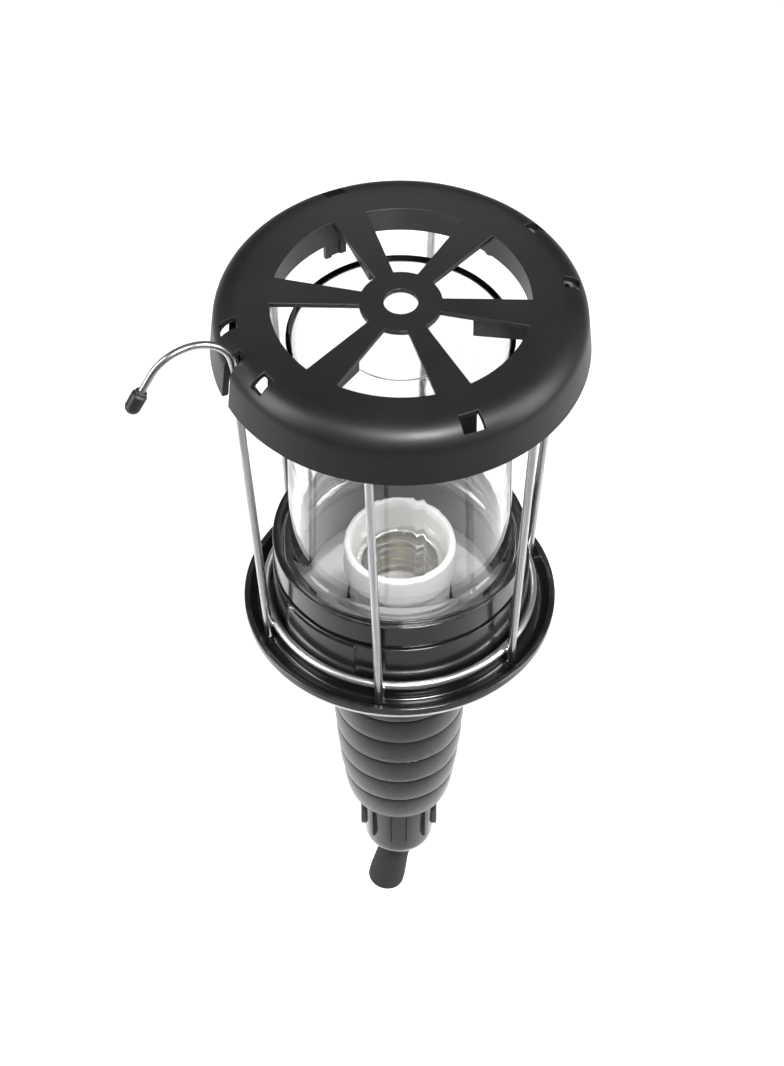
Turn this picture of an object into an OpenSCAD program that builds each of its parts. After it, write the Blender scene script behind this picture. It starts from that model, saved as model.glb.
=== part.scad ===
// Caged inspection hand lamp with an E27 lampholder, a screw-in glass and a folding hook.
// Millimetres, +Z up along the lamp's axis.
// The origin is the centre of the lampholder's screw shell, at the shell's mouth.

/* [Glass] */
// Outside diameter of the glass
glass_d = 77.8; // [70:0.2:94]
// Wall of the glass
glass_wall = 3; // [2:0.1:4]
// Height of the top of the glass above the screw shell's mouth
glass_top_z = 114; // [95:0.5:140]
// Radius of the shoulder of the glass
glass_round_r = 2.8; // [1.5:0.1:8]
// Radius inside the shoulder of the glass
glass_in_round_r = 1.2; // [0.6:0.1:6]
// How far the screw neck stands out of the glass
neck_step = 2.8; // [2:0.1:4]
// Thickness of the rubber gasket
gasket_t = 2; // [1.5:0.1:3]

/* [Guard cap] */
// Height of the cap's top face above the top of the glass
cap_rise = 16; // [14.5:0.5:24]
// Gap between the glass and the rim wall round the cap's openings
glass_margin = 5; // [4:0.1:8]
// Width of the plain rim outside the openings, to the skirt's lower edge
cap_rim_w = 20.3; // [19:0.1:24]
// Height of the skirt
cap_h = 21; // [19:0.5:25]
// Wall of the skirt and of the top plate
cap_wall = 2.4; // [2:0.1:3]
// Radius between the top face and the skirt
cap_round_r = 9; // [6:0.5:10]
// Draft of the skirt, as radius lost from its lower edge to the rounding
cap_draft = 1; // [0.4:0.1:1.5]
// Depth of the rim wall around the openings
rim_depth = 10.2; // [6:0.1:11]
// Diameter of the hub
hub_d = 28; // [22:0.5:34]
// Diameter of the hub's centre hole
hub_hole_d = 11.6; // [8:0.2:16]
// Number of spokes
spoke_count = 6; // [6:1:6]
// Width of a spoke at the rim
spoke_w_rim = 12.6; // [8:0.2:15]
// Width of a spoke at the hub
spoke_w_hub = 6.2; // [4:0.2:8]
// Thickness of the spokes and the hub
spoke_t = 2; // [1.8:0.1:4]
// Direction of the first spoke
spoke_az = -6.5; // [-30:0.5:30]
// Depth of the stiffening rib under every second spoke
rib_depth = 12.5; // [7:0.5:13]
// Length of a stiffening rib, inward from the rim wall
rib_len = 19.5; // [8:0.5:24]
// Width of the slot that the hook folds through
slot_w = 4.6; // [4:0.1:8]

/* [Wire guard] */
// Diameter of the guard wire
wire_d = 3; // [2.4:0.1:4]
// Number of bars
bar_count = 6; // [6:1:6]
// Height of the base ring's centre line
base_ring_z = -12.7; // [-13.5:0.1:-11]
// Depth of the top ring's centre line below the cap's top face
top_ring_drop = 14; // [13:0.5:16]
// Gap between the bars' heads and the inside of the skirt
bar_head_gap = 0.3; // [0.2:0.1:1]
// How far a bar runs on past the base ring's centre line
bar_tail = 6.3; // [4:0.1:6.3]
// Direction of the first bar's foot
bar_az = 22; // [0:1:40]
// Lean of a bar round the axis, from its foot to its top
bar_twist = -2.5; // [-4:0.5:0]
// How deep a weld joins two wires
weld = 0.2; // [0.1:0.05:0.3]

/* [Hook] */
// Diameter of the hook wire
hook_wire_d = 2.6; // [2:0.1:3]
// Direction of the hook
hook_az = 204.5; // [204:0.5:206]
// Radius of the hook's bow, to the wire's centre line
hook_bow_r = 15.5; // [13:0.5:18]
// Distance of the bow's centre outside the top ring
hook_reach = 20.3; // [18:0.1:24]
// Depth of the bow's centre below the cap's top face
hook_bow_drop = 5.3; // [3:0.1:7]
// Slope of the hook's straight end
hook_end_slope = 60; // [45:1:75]
// Length of the hook's straight end
hook_end_len = 14; // [12:0.5:20]
// Diameter of the rubber tip
tip_d = 5.6; // [5:0.1:7]
// Length of the rubber tip
tip_len = 9.5; // [8:0.5:12]

/* [Housing] */
// Wall of the collar round the neck of the glass
collar_wall = 2.6; // [2.4:0.1:4]
// Height of the collar's edge above the screw shell's mouth
collar_top_z = 14.8; // [13:0.1:16]
// Height of the collar's plain band
collar_band_h = 9.3; // [7:0.1:11]
// Height of the groove under the collar's band
groove_h = 2.3; // [1.5:0.1:3]
// Depth of the gasket's seat below the collar's edge
seat_depth = 15; // [12:0.5:16]
// Number of lugs that the guard's base ring grips
lug_count = 3; // [2:1:4]
// How far a lug stands out of the drum
lug_h = 0.8; // [0.4:0.1:1]
// Arc of each lug
lug_arc = 40; // [20:1:60]
// Direction of the first lug's middle
lug_az = 230; // [200:1:250]
// How far the flange reaches outside the bars' feet
flange_reach = 5.3; // [5:0.1:12]
// Thickness of the flange at its edge
flange_t = 6; // [4.6:0.2:8]
// Wall of the housing's floor and well
housing_wall = 2.4; // [2:0.1:2.6]
// Depth of the housing's floor below the screw shell's mouth
floor_drop = 17; // [15:0.5:19]
// Diameter of the cable hole in the well's floor
cable_hole_d = 16; // [12:0.5:16]

/* [Lampholder] */
// Bore of the metal screw shell
shell_bore_d = 26.6; // [22:0.1:32]
// Length of the screw shell
shell_len = 22; // [18:0.5:27]
// Wall of the screw shell
shell_wall = 0.5; // [0.4:0.1:0.6]
// Wall of the porcelain body round the screw shell
body_wall = 4; // [3.5:0.1:6]
// How far the porcelain mouth stands out of its body
mouth_step = 2.2; // [1.6:0.1:4]
// Height of the porcelain mouth above the screw shell
mouth_h = 12; // [10:0.5:14]
// Travel of the sprung centre contact
contact_travel = 1.5; // [1:0.1:2]

/* [Handle] */
// Wall of the handle core round the housing's well
core_wall = 2.4; // [2:0.1:5]
// Radius of the grip at its lower end
grip_end_r = 18; // [17.5:0.1:20]
// Depth of the grip's lower end below the screw shell's mouth
grip_end_drop = 123; // [105:1:150]
// Number of bands on the grip
band_count = 8; // [6:1:9]
// How far a band swells out between its two edges
band_swell = 0.7; // [0.3:0.1:1.2]
// Thickness of the rubber over the handle core at a groove
grip_t = 1.9; // [1.5:0.1:2]
// Bore of the handle core
core_bore_d = 24; // [20:0.5:25]

/* [Gland] */
// Diameter of the threaded spigot
spigot_d = 22.8; // [19:0.2:27.4]
// Length of the threaded spigot
spigot_len = 23; // [20:0.5:26]
// Wall of the gland nut round the spigot
nut_wall = 2.02; // [1.8:0.02:4]
// Length of the gland nut
nut_len = 30; // [28:0.5:36]
// Number of ribs on the gland nut
nut_rib_count = 12; // [8:1:16]
// How far a rib stands out of the nut
nut_rib_h = 1.2; // [0.8:0.1:2]
// Wall of the bend-relief sleeve
sleeve_wall = 2; // [1.5:0.1:3]
// Bore of the bend-relief sleeve
sleeve_bore_d = 8.4; // [7:0.2:10]
// Length of the sleeve below the nut
sleeve_len = 29; // [20:1:40]
// Lean of the sleeve below the nut
sleeve_lean = 10; // [0:1:20]

/* [Clearances] */
// Radial clearance of a sliding or turning fit
fit_gap = 0.08; // [0.05:0.01:0.1]
// Gap between pieces that move past each other without guiding
free_gap = 0.4; // [0.35:0.05:0.5]
// Gap between pieces that sit on each other and don't move
seat_gap = 0.05; // [0.02:0.01:0.1]

/* [Hidden] */
$fn = 96;

BLACK = [0.07, 0.07, 0.075];
GLOSS_BLACK = [0.03, 0.03, 0.035];
STEEL = [0.75, 0.76, 0.78];
BRASS = [0.8, 0.66, 0.35];
PORCELAIN = [0.93, 0.92, 0.88];
CLEAR = [0.8, 0.88, 0.9, 0.35];

// How far a cut runs past the face that it opens
over = 1;
// How far a shape reaches into the one that it is joined to
bite = 1;
// Size of a broken edge on a moulding
edge = 0.5;

// Glass: the neck stands on a gasket in the collar
glass_r = glass_d / 2;
neck_r = glass_r + neck_step;
seat_z = collar_top_z - seat_depth;
neck_foot_z = seat_z + gasket_t;
neck_sink = 4;
neck_top_z = collar_top_z - neck_sink;
neck_shoulder_h = 5;
neck_inner_sink = 2;

// Housing, from the collar outward to the lugs
collar_bore_r = neck_r + free_gap;
collar_r = collar_bore_r + collar_wall;
collar_bead = 1.1;
collar_edge = 0.8;
band_foot_z = collar_top_z - collar_band_h;
groove_depth = 1.6;
drum_step = 0.12;
drum_r = collar_r + drum_step;
drum_top_z = band_foot_z - groove_h;
lug_r = drum_r + lug_h;

// Wire guard: the base ring rides on the lugs, and the bars are welded outside both rings
wire_r = wire_d / 2;
base_ring_r = lug_r + fit_gap + wire_r;
bar_base_r = base_ring_r + wire_d - weld;
opening_r = glass_r + glass_margin;
cap_r = opening_r + cap_rim_w;
cap_shoulder_r = cap_r - cap_draft;
bar_top_r = cap_shoulder_r - cap_wall - bar_head_gap - wire_r;
top_ring_r = bar_top_r - wire_d + weld;
cap_top_z = glass_top_z + cap_rise;
cap_bottom_z = cap_top_z - cap_h;
top_ring_z = cap_top_z - top_ring_drop;
bar_foot_z = base_ring_z - bar_tail;
bar_head_z = top_ring_z + wire_r;
bar_slope = (bar_top_r - bar_base_r) / (top_ring_z - base_ring_z);

// Cap details
rib_w = 2.4;
prong_az = 0;
prong_len = 13;
prong_root = 6;
prong_w = 2.4;
prong_gap = 3.2;
prong_web_t = 1.2;
claw_t = 2.2;
claw_lip = 1.6;
claw_gap = 0.3;
rest_w = 2.2;
rest_gap = 2;
window_in_step = 1.2;
window_out_step = 0.4;
window_depth = 8;
small_window_w = 5;
large_window_w = 7.5;
small_window_spread = 14.3;
window_in_r = cap_shoulder_r - cap_round_r + window_in_step;
window_out_r = cap_shoulder_r - cap_wall + window_out_step;

// Hook: an eye round the top ring, a shank tangent to eye and bow, a bow and a straight end
hook_wire_r = hook_wire_d / 2;
hook_bow_x = top_ring_r + hook_reach;
eye_r = wire_r + 2 * fit_gap + hook_wire_r;
eye_arc = 300;
joint_bulge = 0.05;
bow_z = cap_top_z - hook_bow_drop;
bow_dz = bow_z - top_ring_z;
shank_lean = acos((eye_r + hook_bow_r) / norm([hook_reach, bow_dz])) - atan2(bow_dz, hook_reach);
shank_foot = [top_ring_r + eye_r * cos(shank_lean), top_ring_z - eye_r * sin(shank_lean)];
shank_head = [hook_bow_x - hook_bow_r * cos(shank_lean), bow_z + hook_bow_r * sin(shank_lean)];
end_start = [hook_bow_x + hook_bow_r * sin(hook_end_slope), bow_z + hook_bow_r * cos(hook_end_slope)];
end_stop = end_start + hook_end_len * [cos(hook_end_slope), -sin(hook_end_slope)];
slot_start_r = shank_foot[0] - hook_wire_r - free_gap;
tip_r = tip_d / 2;
tip_taper = 0.8;
tip_end_t = 2;

// Lampholder: a one-piece porcelain body on a steel bracket
shell_r = shell_bore_d / 2;
shell_out_r = shell_r + shell_wall;
shell_rim_w = 1.7;
shelf_z = 0.8;
shelf_w = 2.2;
pocket_r = shell_out_r + seat_gap;
body_r = shell_out_r + body_wall;
body_edge = 1.5;
flare_z = -4;
flare_lip_z = -1;
mouth_r = body_r + mouth_step;
mouth_wall = 2.9;
contact_drop = 3.5;
contact_z = -shell_len - contact_drop;
base_t = 7;
porcelain_foot_z = contact_z - base_t;
spring_pocket_d = 12;
spring_pocket_depth = 4;
spring_w = 6;
spring_len = 10;
spring_t = 0.6;
button_foot_r = 3;
button_top_r = 2.2;
strip_t = 0.5;
strip_w = 4;
rivet_x = 8;
rivet_hole_d = 2.6;
bracket_t = 1.2;
bracket_w = 6.8;
bracket_h = 4.3;
bracket_foot_w = 8;
bracket_screw_x = 11;
bracket_screw_d = 2.6;
bracket_z = porcelain_foot_z - bracket_t;
screw_head_d = 6.2;
screw_head_h = 2;
terminal_x = 9;
terminal_y = 6.5;
terminal_size = [6, 5.6, 5.6];
terminal_pocket = [7, 8.4, 4];
terminal_pocket_y = 3.3;
terminal_stand = 2;
lead_hole_d = 2.4;
lead_hole_depth = 4;
clamp_screw_d = 3;
clamp_screw_len = 1.6;
clamp_hole_d = 1.6;

// Housing, from the ledge under the base ring down to the well
ledge_z = base_ring_z - wire_r - free_gap;
ledge_r = base_ring_r + 0.6;
dish_z = bar_foot_z - free_gap;
dish_in_r = bar_base_r - wire_r - 0.8;
dish_rise_w = 4;
lip_h = 3;
lip_w = 1.4;
lip_z = dish_z + lip_h;
flange_r = bar_base_r + flange_reach;
flange_foot_z = lip_z - flange_t;
floor_z = -floor_drop;
seat_lap = 2.2;
seat_in_r = neck_r - glass_wall - seat_lap;
well_z = bracket_z - bracket_h;
well_r = body_r + free_gap;
well_out_r = well_r + housing_wall;
well_fillet = 1.2;
disc_t = 0.8;

// Handle
grip_gap = 1.4;
grip_top_z = flange_foot_z - grip_gap;
grip_end_z = -grip_end_drop;
core_gap = grip_t + seat_gap;
grip_top_r = well_out_r + seat_gap + core_wall + core_gap;
band_h = (grip_top_z - grip_end_z) / band_count;
core_top_z = flange_foot_z - well_fillet;
core_sink = 1.4;
core_end_z = grip_end_z + core_sink;
core_floor_t = 8;
socket_r = well_out_r + seat_gap;
socket_floor_z = well_z - housing_wall - seat_gap;
core_bore_r = core_bore_d / 2;
handle_screw_d = 2.3;
handle_screw_rise = 8;
handle_screw_z = socket_floor_z + handle_screw_rise;
grip_lip = 0.5;
grip_lip_w = 2;

// Gland
spigot_r = spigot_d / 2;
spigot_wall = 2.4;
spigot_bore_r = spigot_r - spigot_wall;
spigot_foot_z = core_end_z - spigot_len;
seal_h = 12;
seal_stand = 0.6;
seal_foot_z = spigot_foot_z - seal_stand;
slip_t = 1;
slip_r = spigot_r - 0.8;
slip_z = seal_foot_z - free_gap - slip_t;
sleeve_flange_t = 2.4;
sleeve_flange_z = slip_z - seat_gap - sleeve_flange_t;
sleeve_bore_r = sleeve_bore_d / 2;
sleeve_r = sleeve_bore_r + sleeve_wall;
nut_gap = 1.4;
nut_top_z = grip_end_z - nut_gap;
nut_foot_z = nut_top_z - nut_len;
nut_r = spigot_r + fit_gap + nut_wall;
nut_floor_z = sleeve_flange_z - free_gap;
nut_foot_r = nut_r - 1.3;
nut_round_r = 5;
nut_waist_h = 8;
nut_waist = 0.6;
nut_rib_w = 1.7;
nut_rib_rise = 10;

// Radius of the grip's grooves at height z: a long gentle taper that steepens at the lower end
function grip_groove_r(z) =
    let (t = (grip_top_z - z) / (grip_top_z - grip_end_z))
    grip_top_r - (grip_top_r - grip_end_r) * (0.42 * t + 0.58 * pow(t, 4));

// Radius of the handle core's outside at height z: the grip's groove less the rubber
function core_r(z) = grip_groove_r(min(z, grip_top_z)) - core_gap;

// Centre-line radius of a bar at height z
function bar_r(z) = bar_base_r + bar_slope * (z - base_ring_z);

// A point from its cylindrical coordinates
function polar(r, az, z) = [r * cos(az), r * sin(az), z];

// Points on an arc in the section plane, from angle a1 to a2
function arc(c, r, a1, a2, steps = 6) = [
    for (i = [0 : steps]) let (a = a1 + (a2 - a1) * i / steps) c + r * [cos(a), sin(a)]
];

// The swept shoulder between the neck and the glass, as a quarter of an ellipse that starts at height z
function neck_shoulder(r, z, a1, a2, steps) = [
    for (i = [0 : steps]) let (a = a1 + (a2 - a1) * i / steps)
        [r + neck_step * (1 - sin(a)), z + neck_shoulder_h * (1 - cos(a))]
];

// A round rod from p to q
module rod(p, q, d) {
    v = q - p;
    translate(p) rotate([0, acos(v[2] / norm(v)), atan2(v[1], v[0])]) cylinder(h = norm(v), d = d);
}

// A ring of round wire, its centre line at height z
module wire_ring(r, z, d) {
    translate([0, 0, z]) rotate_extrude() translate([r, 0]) circle(d = d, $fn = 48);
}

// Places its children in the radial plane at azimuth az: their X is the radius and their Y the height
module in_plane(az) {
    rotate([0, 0, az]) rotate([90, 0, 0]) children();
}

// A box that runs out along azimuth az, from r1 to r2 and from z1 to z2
module radial_block(az, r1, r2, w, z1, z2) {
    rotate([0, 0, az]) translate([r1, -w / 2, z1]) cube([r2 - r1, w, z2 - z1]);
}

// Places copies of its children round the axis
module around(count, first_az = 0) {
    for (i = [0 : count - 1]) rotate([0, 0, first_az + i * 360 / count]) children();
}

// Places copies of its children at x on both sides of the axis
module both_sides(x) {
    for (side = [-1, 1]) translate([side * x, 0, 0]) children();
}

// A tube on the axis, from z1 to z2
module tube(r, bore_r, z1, z2) {
    translate([0, 0, z1]) difference() {
        cylinder(h = z2 - z1, r = r);
        translate([0, 0, -over]) cylinder(h = z2 - z1 + 2 * over, r = bore_r);
    }
}

// The skirt, top plate and rim wall as one turned channel, open underneath
module cap_channel() {
    round_c = [cap_shoulder_r - cap_round_r, cap_top_z - cap_round_r];
    rotate_extrude() difference() {
        union() {
            polygon([
                [opening_r, cap_top_z - rim_depth], [opening_r, cap_top_z], [round_c[0], cap_top_z],
                round_c, [cap_shoulder_r, round_c[1]], [cap_r, cap_bottom_z], [opening_r, cap_bottom_z]
            ]);
            translate(round_c) circle(r = cap_round_r);
        }
        polygon([
            [opening_r + cap_wall, cap_bottom_z - over], [opening_r + cap_wall, cap_top_z - cap_wall],
            [round_c[0], cap_top_z - cap_wall], round_c, [cap_shoulder_r - cap_wall, round_c[1]],
            [cap_r - cap_wall, cap_bottom_z], [cap_r - cap_wall, cap_bottom_z - over]
        ]);
        translate(round_c) circle(r = cap_round_r - cap_wall);
        translate([opening_r - over, cap_bottom_z - over])
            square([2 * cap_wall + over, cap_h - rim_depth + over]);
    }
}

// One spoke, from the hub to the rim wall
module spoke() {
    translate([0, 0, cap_top_z - spoke_t]) linear_extrude(height = spoke_t) polygon([
        [hub_d / 2 - bite, -spoke_w_hub / 2], [opening_r + bite, -spoke_w_rim / 2],
        [opening_r + bite, spoke_w_rim / 2], [hub_d / 2 - bite, spoke_w_hub / 2]
    ]);
}

// The stiffening rib under a spoke
module spoke_rib() {
    radial_block(0, opening_r - rib_len, opening_r + bite, rib_w, cap_top_z - rib_depth, cap_top_z - bite);
}

// A guide prong: two ribs on a web that hang from the rim wall and keep the cap centred over the glass
module guide_prong() {
    top_z = cap_top_z - rim_depth + prong_root;
    foot_z = top_z - prong_len;
    back_r = opening_r + cap_wall;
    radial_block(0, back_r - prong_web_t, back_r, prong_gap + prong_w, foot_z, top_z);
    for (side = [-1, 1]) translate([0, side * (prong_w + prong_gap) / 2, 0])
        radial_block(0, opening_r, back_r, prong_w, foot_z, top_z);
}

// A claw that hangs from the plate and catches under the top ring
module ring_claw(w) {
    claw_r = top_ring_r - wire_r - claw_gap;
    lip_top_z = top_ring_z - wire_r - seat_gap;
    radial_block(0, claw_r - claw_t, claw_r, w, lip_top_z - claw_lip, cap_top_z - bite);
    radial_block(0, claw_r - bite, top_ring_r, w, lip_top_z - claw_lip, lip_top_z);
}

// A rib in the channel that the top ring bears on
module ring_rest() {
    radial_block(0, opening_r + bite, cap_shoulder_r - cap_wall - rest_gap, rest_w,
        top_ring_z + wire_r + seat_gap, cap_top_z - bite);
}

module guard_cap() {
    small_az = [hook_az - small_window_spread, hook_az + small_window_spread,
        hook_az - 180 - small_window_spread, hook_az - 180 + small_window_spread];
    large_az = [spoke_az + 120, spoke_az + 300];
    window_foot_z = cap_top_z - window_depth;
    color(BLACK) difference() {
        union() {
            cap_channel();
            translate([0, 0, cap_top_z - spoke_t]) cylinder(h = spoke_t, d = hub_d);
            around(spoke_count, spoke_az) spoke();
            around(spoke_count / 2, spoke_az) spoke_rib();
            around(spoke_count / 2, prong_az) guide_prong();
            for (az = small_az) rotate([0, 0, az]) ring_claw(small_window_w);
            for (az = large_az) rotate([0, 0, az]) ring_claw(large_window_w);
            around(bar_count, bar_az + bar_twist + 180 / bar_count) ring_rest();
        }
        translate([0, 0, cap_top_z - spoke_t - over]) cylinder(h = spoke_t + 2 * over, d = hub_hole_d);
        for (az = small_az)
            radial_block(az, window_in_r, window_out_r, small_window_w, window_foot_z, cap_top_z + over);
        for (az = large_az)
            radial_block(az, window_in_r, window_out_r, large_window_w, window_foot_z, cap_top_z + over);
        radial_block(hook_az, slot_start_r, cap_r + over, slot_w, cap_bottom_z - over, cap_top_z + over);
    }
}

// One bar of the guard, from its foot past the base ring to its head at the top ring
module cage_bar(i) {
    az = bar_az + (i - 1) * 360 / bar_count;
    foot = polar(bar_r(bar_foot_z), az, bar_foot_z);
    head = polar(bar_r(bar_head_z), az + bar_twist, bar_head_z);
    color(STEEL) rod(foot, head, wire_d);
}

module cage_top_ring() {
    color(STEEL) wire_ring(top_ring_r, top_ring_z, wire_d);
}

module cage_base_ring() {
    color(STEEL) wire_ring(base_ring_r, base_ring_z, wire_d);
}

// An arc of round wire in the plane, centred on c, from angle a1 to a2
module wire_arc(c, r, a1, a2, d) {
    translate([c[0], c[1], 0]) rotate([0, 0, a1]) rotate_extrude(angle = a2 - a1)
        translate([r, 0]) circle(d = d, $fn = 48);
}

// A straight piece of round wire in the plane
module wire_run(p, q, d) {
    rod([p[0], p[1], 0], [q[0], q[1], 0], d);
}

module hang_hook() {
    joint_r = hook_wire_r + joint_bulge;
    color(STEEL) in_plane(hook_az) {
        for (p = [shank_foot, shank_head, end_start])
            translate([p[0], p[1], 0]) sphere(r = joint_r, $fn = 48);
        wire_arc([top_ring_r, top_ring_z], eye_r, -shank_lean - eye_arc, -shank_lean, hook_wire_d);
        wire_run(shank_foot, shank_head, hook_wire_d);
        wire_arc([hook_bow_x, bow_z], hook_bow_r, 90 - hook_end_slope, 180 - shank_lean, hook_wire_d);
        wire_run(end_start, end_stop, hook_wire_d);
    }
}

// The rubber tip: a turned cap with a domed end and a bore for the wire
module hook_tip() {
    bore_len = tip_len - tip_end_t;
    color(GLOSS_BLACK) in_plane(hook_az)
        translate([end_stop[0], end_stop[1], 0]) rotate([0, 0, -hook_end_slope]) rotate([0, 90, 0])
            translate([0, 0, -bore_len + seat_gap]) difference() {
                union() {
                    cylinder(h = tip_len - tip_r, r1 = tip_r - tip_taper, r2 = tip_r);
                    translate([0, 0, tip_len - tip_r]) sphere(r = tip_r, $fn = 64);
                }
                translate([0, 0, -over]) cylinder(h = bore_len + over, r = hook_wire_r + seat_gap);
            }
}

// The glass: a screw neck, a straight tube and a flat top with a rounded shoulder
module glass_globe() {
    in_r = glass_r - glass_wall;
    out_c = [glass_r - glass_round_r, glass_top_z - glass_round_r];
    in_c = [in_r - glass_in_round_r, glass_top_z - glass_wall - glass_in_round_r];
    color(CLEAR) rotate_extrude($fn = 128) polygon(concat(
        [[neck_r - glass_wall, neck_foot_z], [neck_r, neck_foot_z]],
        neck_shoulder(glass_r, neck_top_z, 0, 90, 6),
        arc(out_c, glass_round_r, 0, 90, 9),
        [[0, glass_top_z], [0, glass_top_z - glass_wall]],
        arc(in_c, glass_in_round_r, 90, 0),
        neck_shoulder(in_r, neck_top_z - neck_inner_sink, 90, 0, 6)
    ));
}

module globe_gasket() {
    color(BLACK) tube(neck_r - 0.2, neck_r - glass_wall - 1, seat_z + seat_gap, neck_foot_z - seat_gap);
}

// The housing's section: collar, drum, ledge, dished flange, floor and well, with its inside
function housing_outline() =
    let (
        groove_r = collar_r - groove_depth,
        hole_r = cable_hole_d / 2,
        well_foot_z = well_z - housing_wall
    ) [
        [collar_bore_r, seat_z], [collar_bore_r, collar_top_z + collar_bead - edge],
        [collar_bore_r + edge, collar_top_z + collar_bead], [collar_r - collar_edge, collar_top_z + edge],
        [collar_r, collar_top_z - collar_edge / 2], [collar_r, band_foot_z],
        [groove_r, band_foot_z - edge], [groove_r, drum_top_z], [drum_r - edge, drum_top_z],
        [drum_r, drum_top_z - edge], [drum_r, ledge_z], [ledge_r - edge, ledge_z],
        [ledge_r, ledge_z - edge], [dish_in_r, dish_z], [flange_r - dish_rise_w, dish_z],
        [flange_r - dish_rise_w / 2, dish_z + 0.6 * lip_h], [flange_r - lip_w, lip_z],
        [flange_r - edge, lip_z], [flange_r, lip_z - edge], [flange_r, lip_z - flange_t / 2],
        [flange_r - lip_w, flange_foot_z + edge], [flange_r - 2 * lip_w, flange_foot_z],
        [well_out_r + well_fillet, flange_foot_z], [well_out_r, flange_foot_z - well_fillet],
        [well_out_r, well_foot_z], [hole_r, well_foot_z], [hole_r, well_z], [well_r, well_z],
        [well_r, floor_z], [seat_in_r, floor_z], [seat_in_r, seat_z]
    ];

// A lug on the drum, from the ledge to just under the groove
module guard_lug() {
    lug_foot_z = ledge_z - 0.2;
    lug_top_z = drum_top_z - 0.8;
    translate([0, 0, lug_foot_z]) rotate_extrude(angle = lug_arc, $fn = 128)
        translate([drum_r - bite, 0]) square([lug_h + bite, lug_top_z - lug_foot_z]);
}

module lamp_housing() {
    color(GLOSS_BLACK) difference() {
        union() {
            rotate_extrude($fn = 128) polygon(housing_outline());
            around(lug_count, lug_az - lug_arc / 2) guard_lug();
        }
        both_sides(bracket_screw_x) translate([0, 0, well_z - housing_wall - over])
            cylinder(h = housing_wall + 2 * over, d = bracket_screw_d + free_gap);
        translate([0, 0, handle_screw_z]) rotate([90, 0, 0])
            cylinder(h = 2 * well_out_r + 2 * over, d = handle_screw_d + 2 * seat_gap, center = true);
    }
}

module reflector_disc() {
    disc_z = floor_z + seat_gap;
    color(STEEL) tube(seat_in_r - free_gap, body_r + 1, disc_z, disc_z + disc_t);
}

// The one-piece porcelain holder: a flared mouth, a seat for the screw shell, and a solid base
module lampholder_body() {
    rim_r = mouth_wall / 2;
    foot_z = porcelain_foot_z - over;
    color(PORCELAIN) difference() {
        rotate_extrude() polygon(concat(
            [[0, porcelain_foot_z], [body_r - body_edge, porcelain_foot_z],
                [body_r, porcelain_foot_z + body_edge], [body_r, flare_z],
                [mouth_r - edge, flare_lip_z], [mouth_r, flare_lip_z + 2 * edge]],
            arc([mouth_r - rim_r, mouth_h - rim_r], rim_r, 0, 180),
            [[pocket_r + shelf_w, shelf_z], [0, shelf_z]]
        ));
        translate([0, 0, contact_z]) cylinder(h = shelf_z - contact_z + over, r = pocket_r);
        translate([0, 0, contact_z - spring_pocket_depth])
            cylinder(h = spring_pocket_depth + over, d = spring_pocket_d);
        both_sides(rivet_x) translate([0, 0, foot_z]) cylinder(h = base_t + 2 * over, d = rivet_hole_d);
        both_sides(terminal_x) translate([-terminal_pocket[0] / 2, terminal_pocket_y, foot_z])
            cube(terminal_pocket + [0, 0, over]);
    }
}

// The metal screw shell, with its turned-out rim; the rolled thread lies inside this wall
module screw_shell() {
    rim_r = shell_out_r + shell_rim_w;
    rim_z = shelf_z + 2 * seat_gap;
    color(BRASS) rotate_extrude() polygon([
        [shell_r, -shell_len], [shell_out_r, -shell_len], [shell_out_r, rim_z], [rim_r, rim_z],
        [rim_r, rim_z + shell_wall], [shell_r + shell_wall / 2, rim_z + shell_wall], [shell_r, rim_z]
    ]);
}

// The sprung centre contact: a domed button on its flat spring foot
module centre_contact() {
    color(BRASS) translate([0, 0, contact_z + free_gap]) {
        translate([-spring_w / 2, -spring_len / 2, 0]) cube([spring_w, spring_len, spring_t]);
        cylinder(h = 2 * contact_travel, r1 = button_foot_r, r2 = button_top_r);
    }
}

// The side contact: a bent strip from its rivet out and up to the shell's foot
module side_contact() {
    in_x = spring_pocket_d / 2 + 0.2;
    out_x = shell_r + 0.2;
    color(BRASS) translate([0, -strip_w / 2, contact_z + seat_gap]) {
        translate([in_x, 0, 0]) cube([out_x - in_x, strip_w, strip_t]);
        translate([out_x - strip_t, 0, 0]) cube([strip_t, strip_w, contact_drop - 2 * seat_gap]);
    }
}

module contact_rivets() {
    color(BRASS) both_sides(rivet_x) translate([0, 0, porcelain_foot_z + seat_gap])
        cylinder(h = base_t - 2 * seat_gap, d = rivet_hole_d - 2 * seat_gap);
}

// The steel strap that carries the lampholder on the well's floor
module holder_bracket() {
    foot_z = well_z + seat_gap;
    strap_len = 2 * bracket_screw_x + bracket_foot_w;
    color(STEEL) difference() {
        union() {
            translate([-strap_len / 2, -bracket_w / 2, bracket_z])
                cube([strap_len, bracket_w, bracket_t - seat_gap]);
            both_sides(bracket_screw_x) translate([-bracket_foot_w / 2, -bracket_w / 2, foot_z])
                cube([bracket_foot_w, bracket_w, bracket_h]);
        }
        both_sides(bracket_screw_x) translate([0, 0, foot_z - over])
            cylinder(h = bracket_h + bracket_t + 2 * over, d = bracket_screw_d + 2 * seat_gap);
    }
}

module bracket_screws() {
    head_z = well_z - housing_wall - seat_gap - screw_head_h;
    color(STEEL) both_sides(bracket_screw_x) translate([0, 0, head_z]) {
        cylinder(h = bracket_z - head_z + bracket_t - 2 * seat_gap, d = bracket_screw_d);
        cylinder(h = screw_head_h, d = screw_head_d);
    }
}

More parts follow.
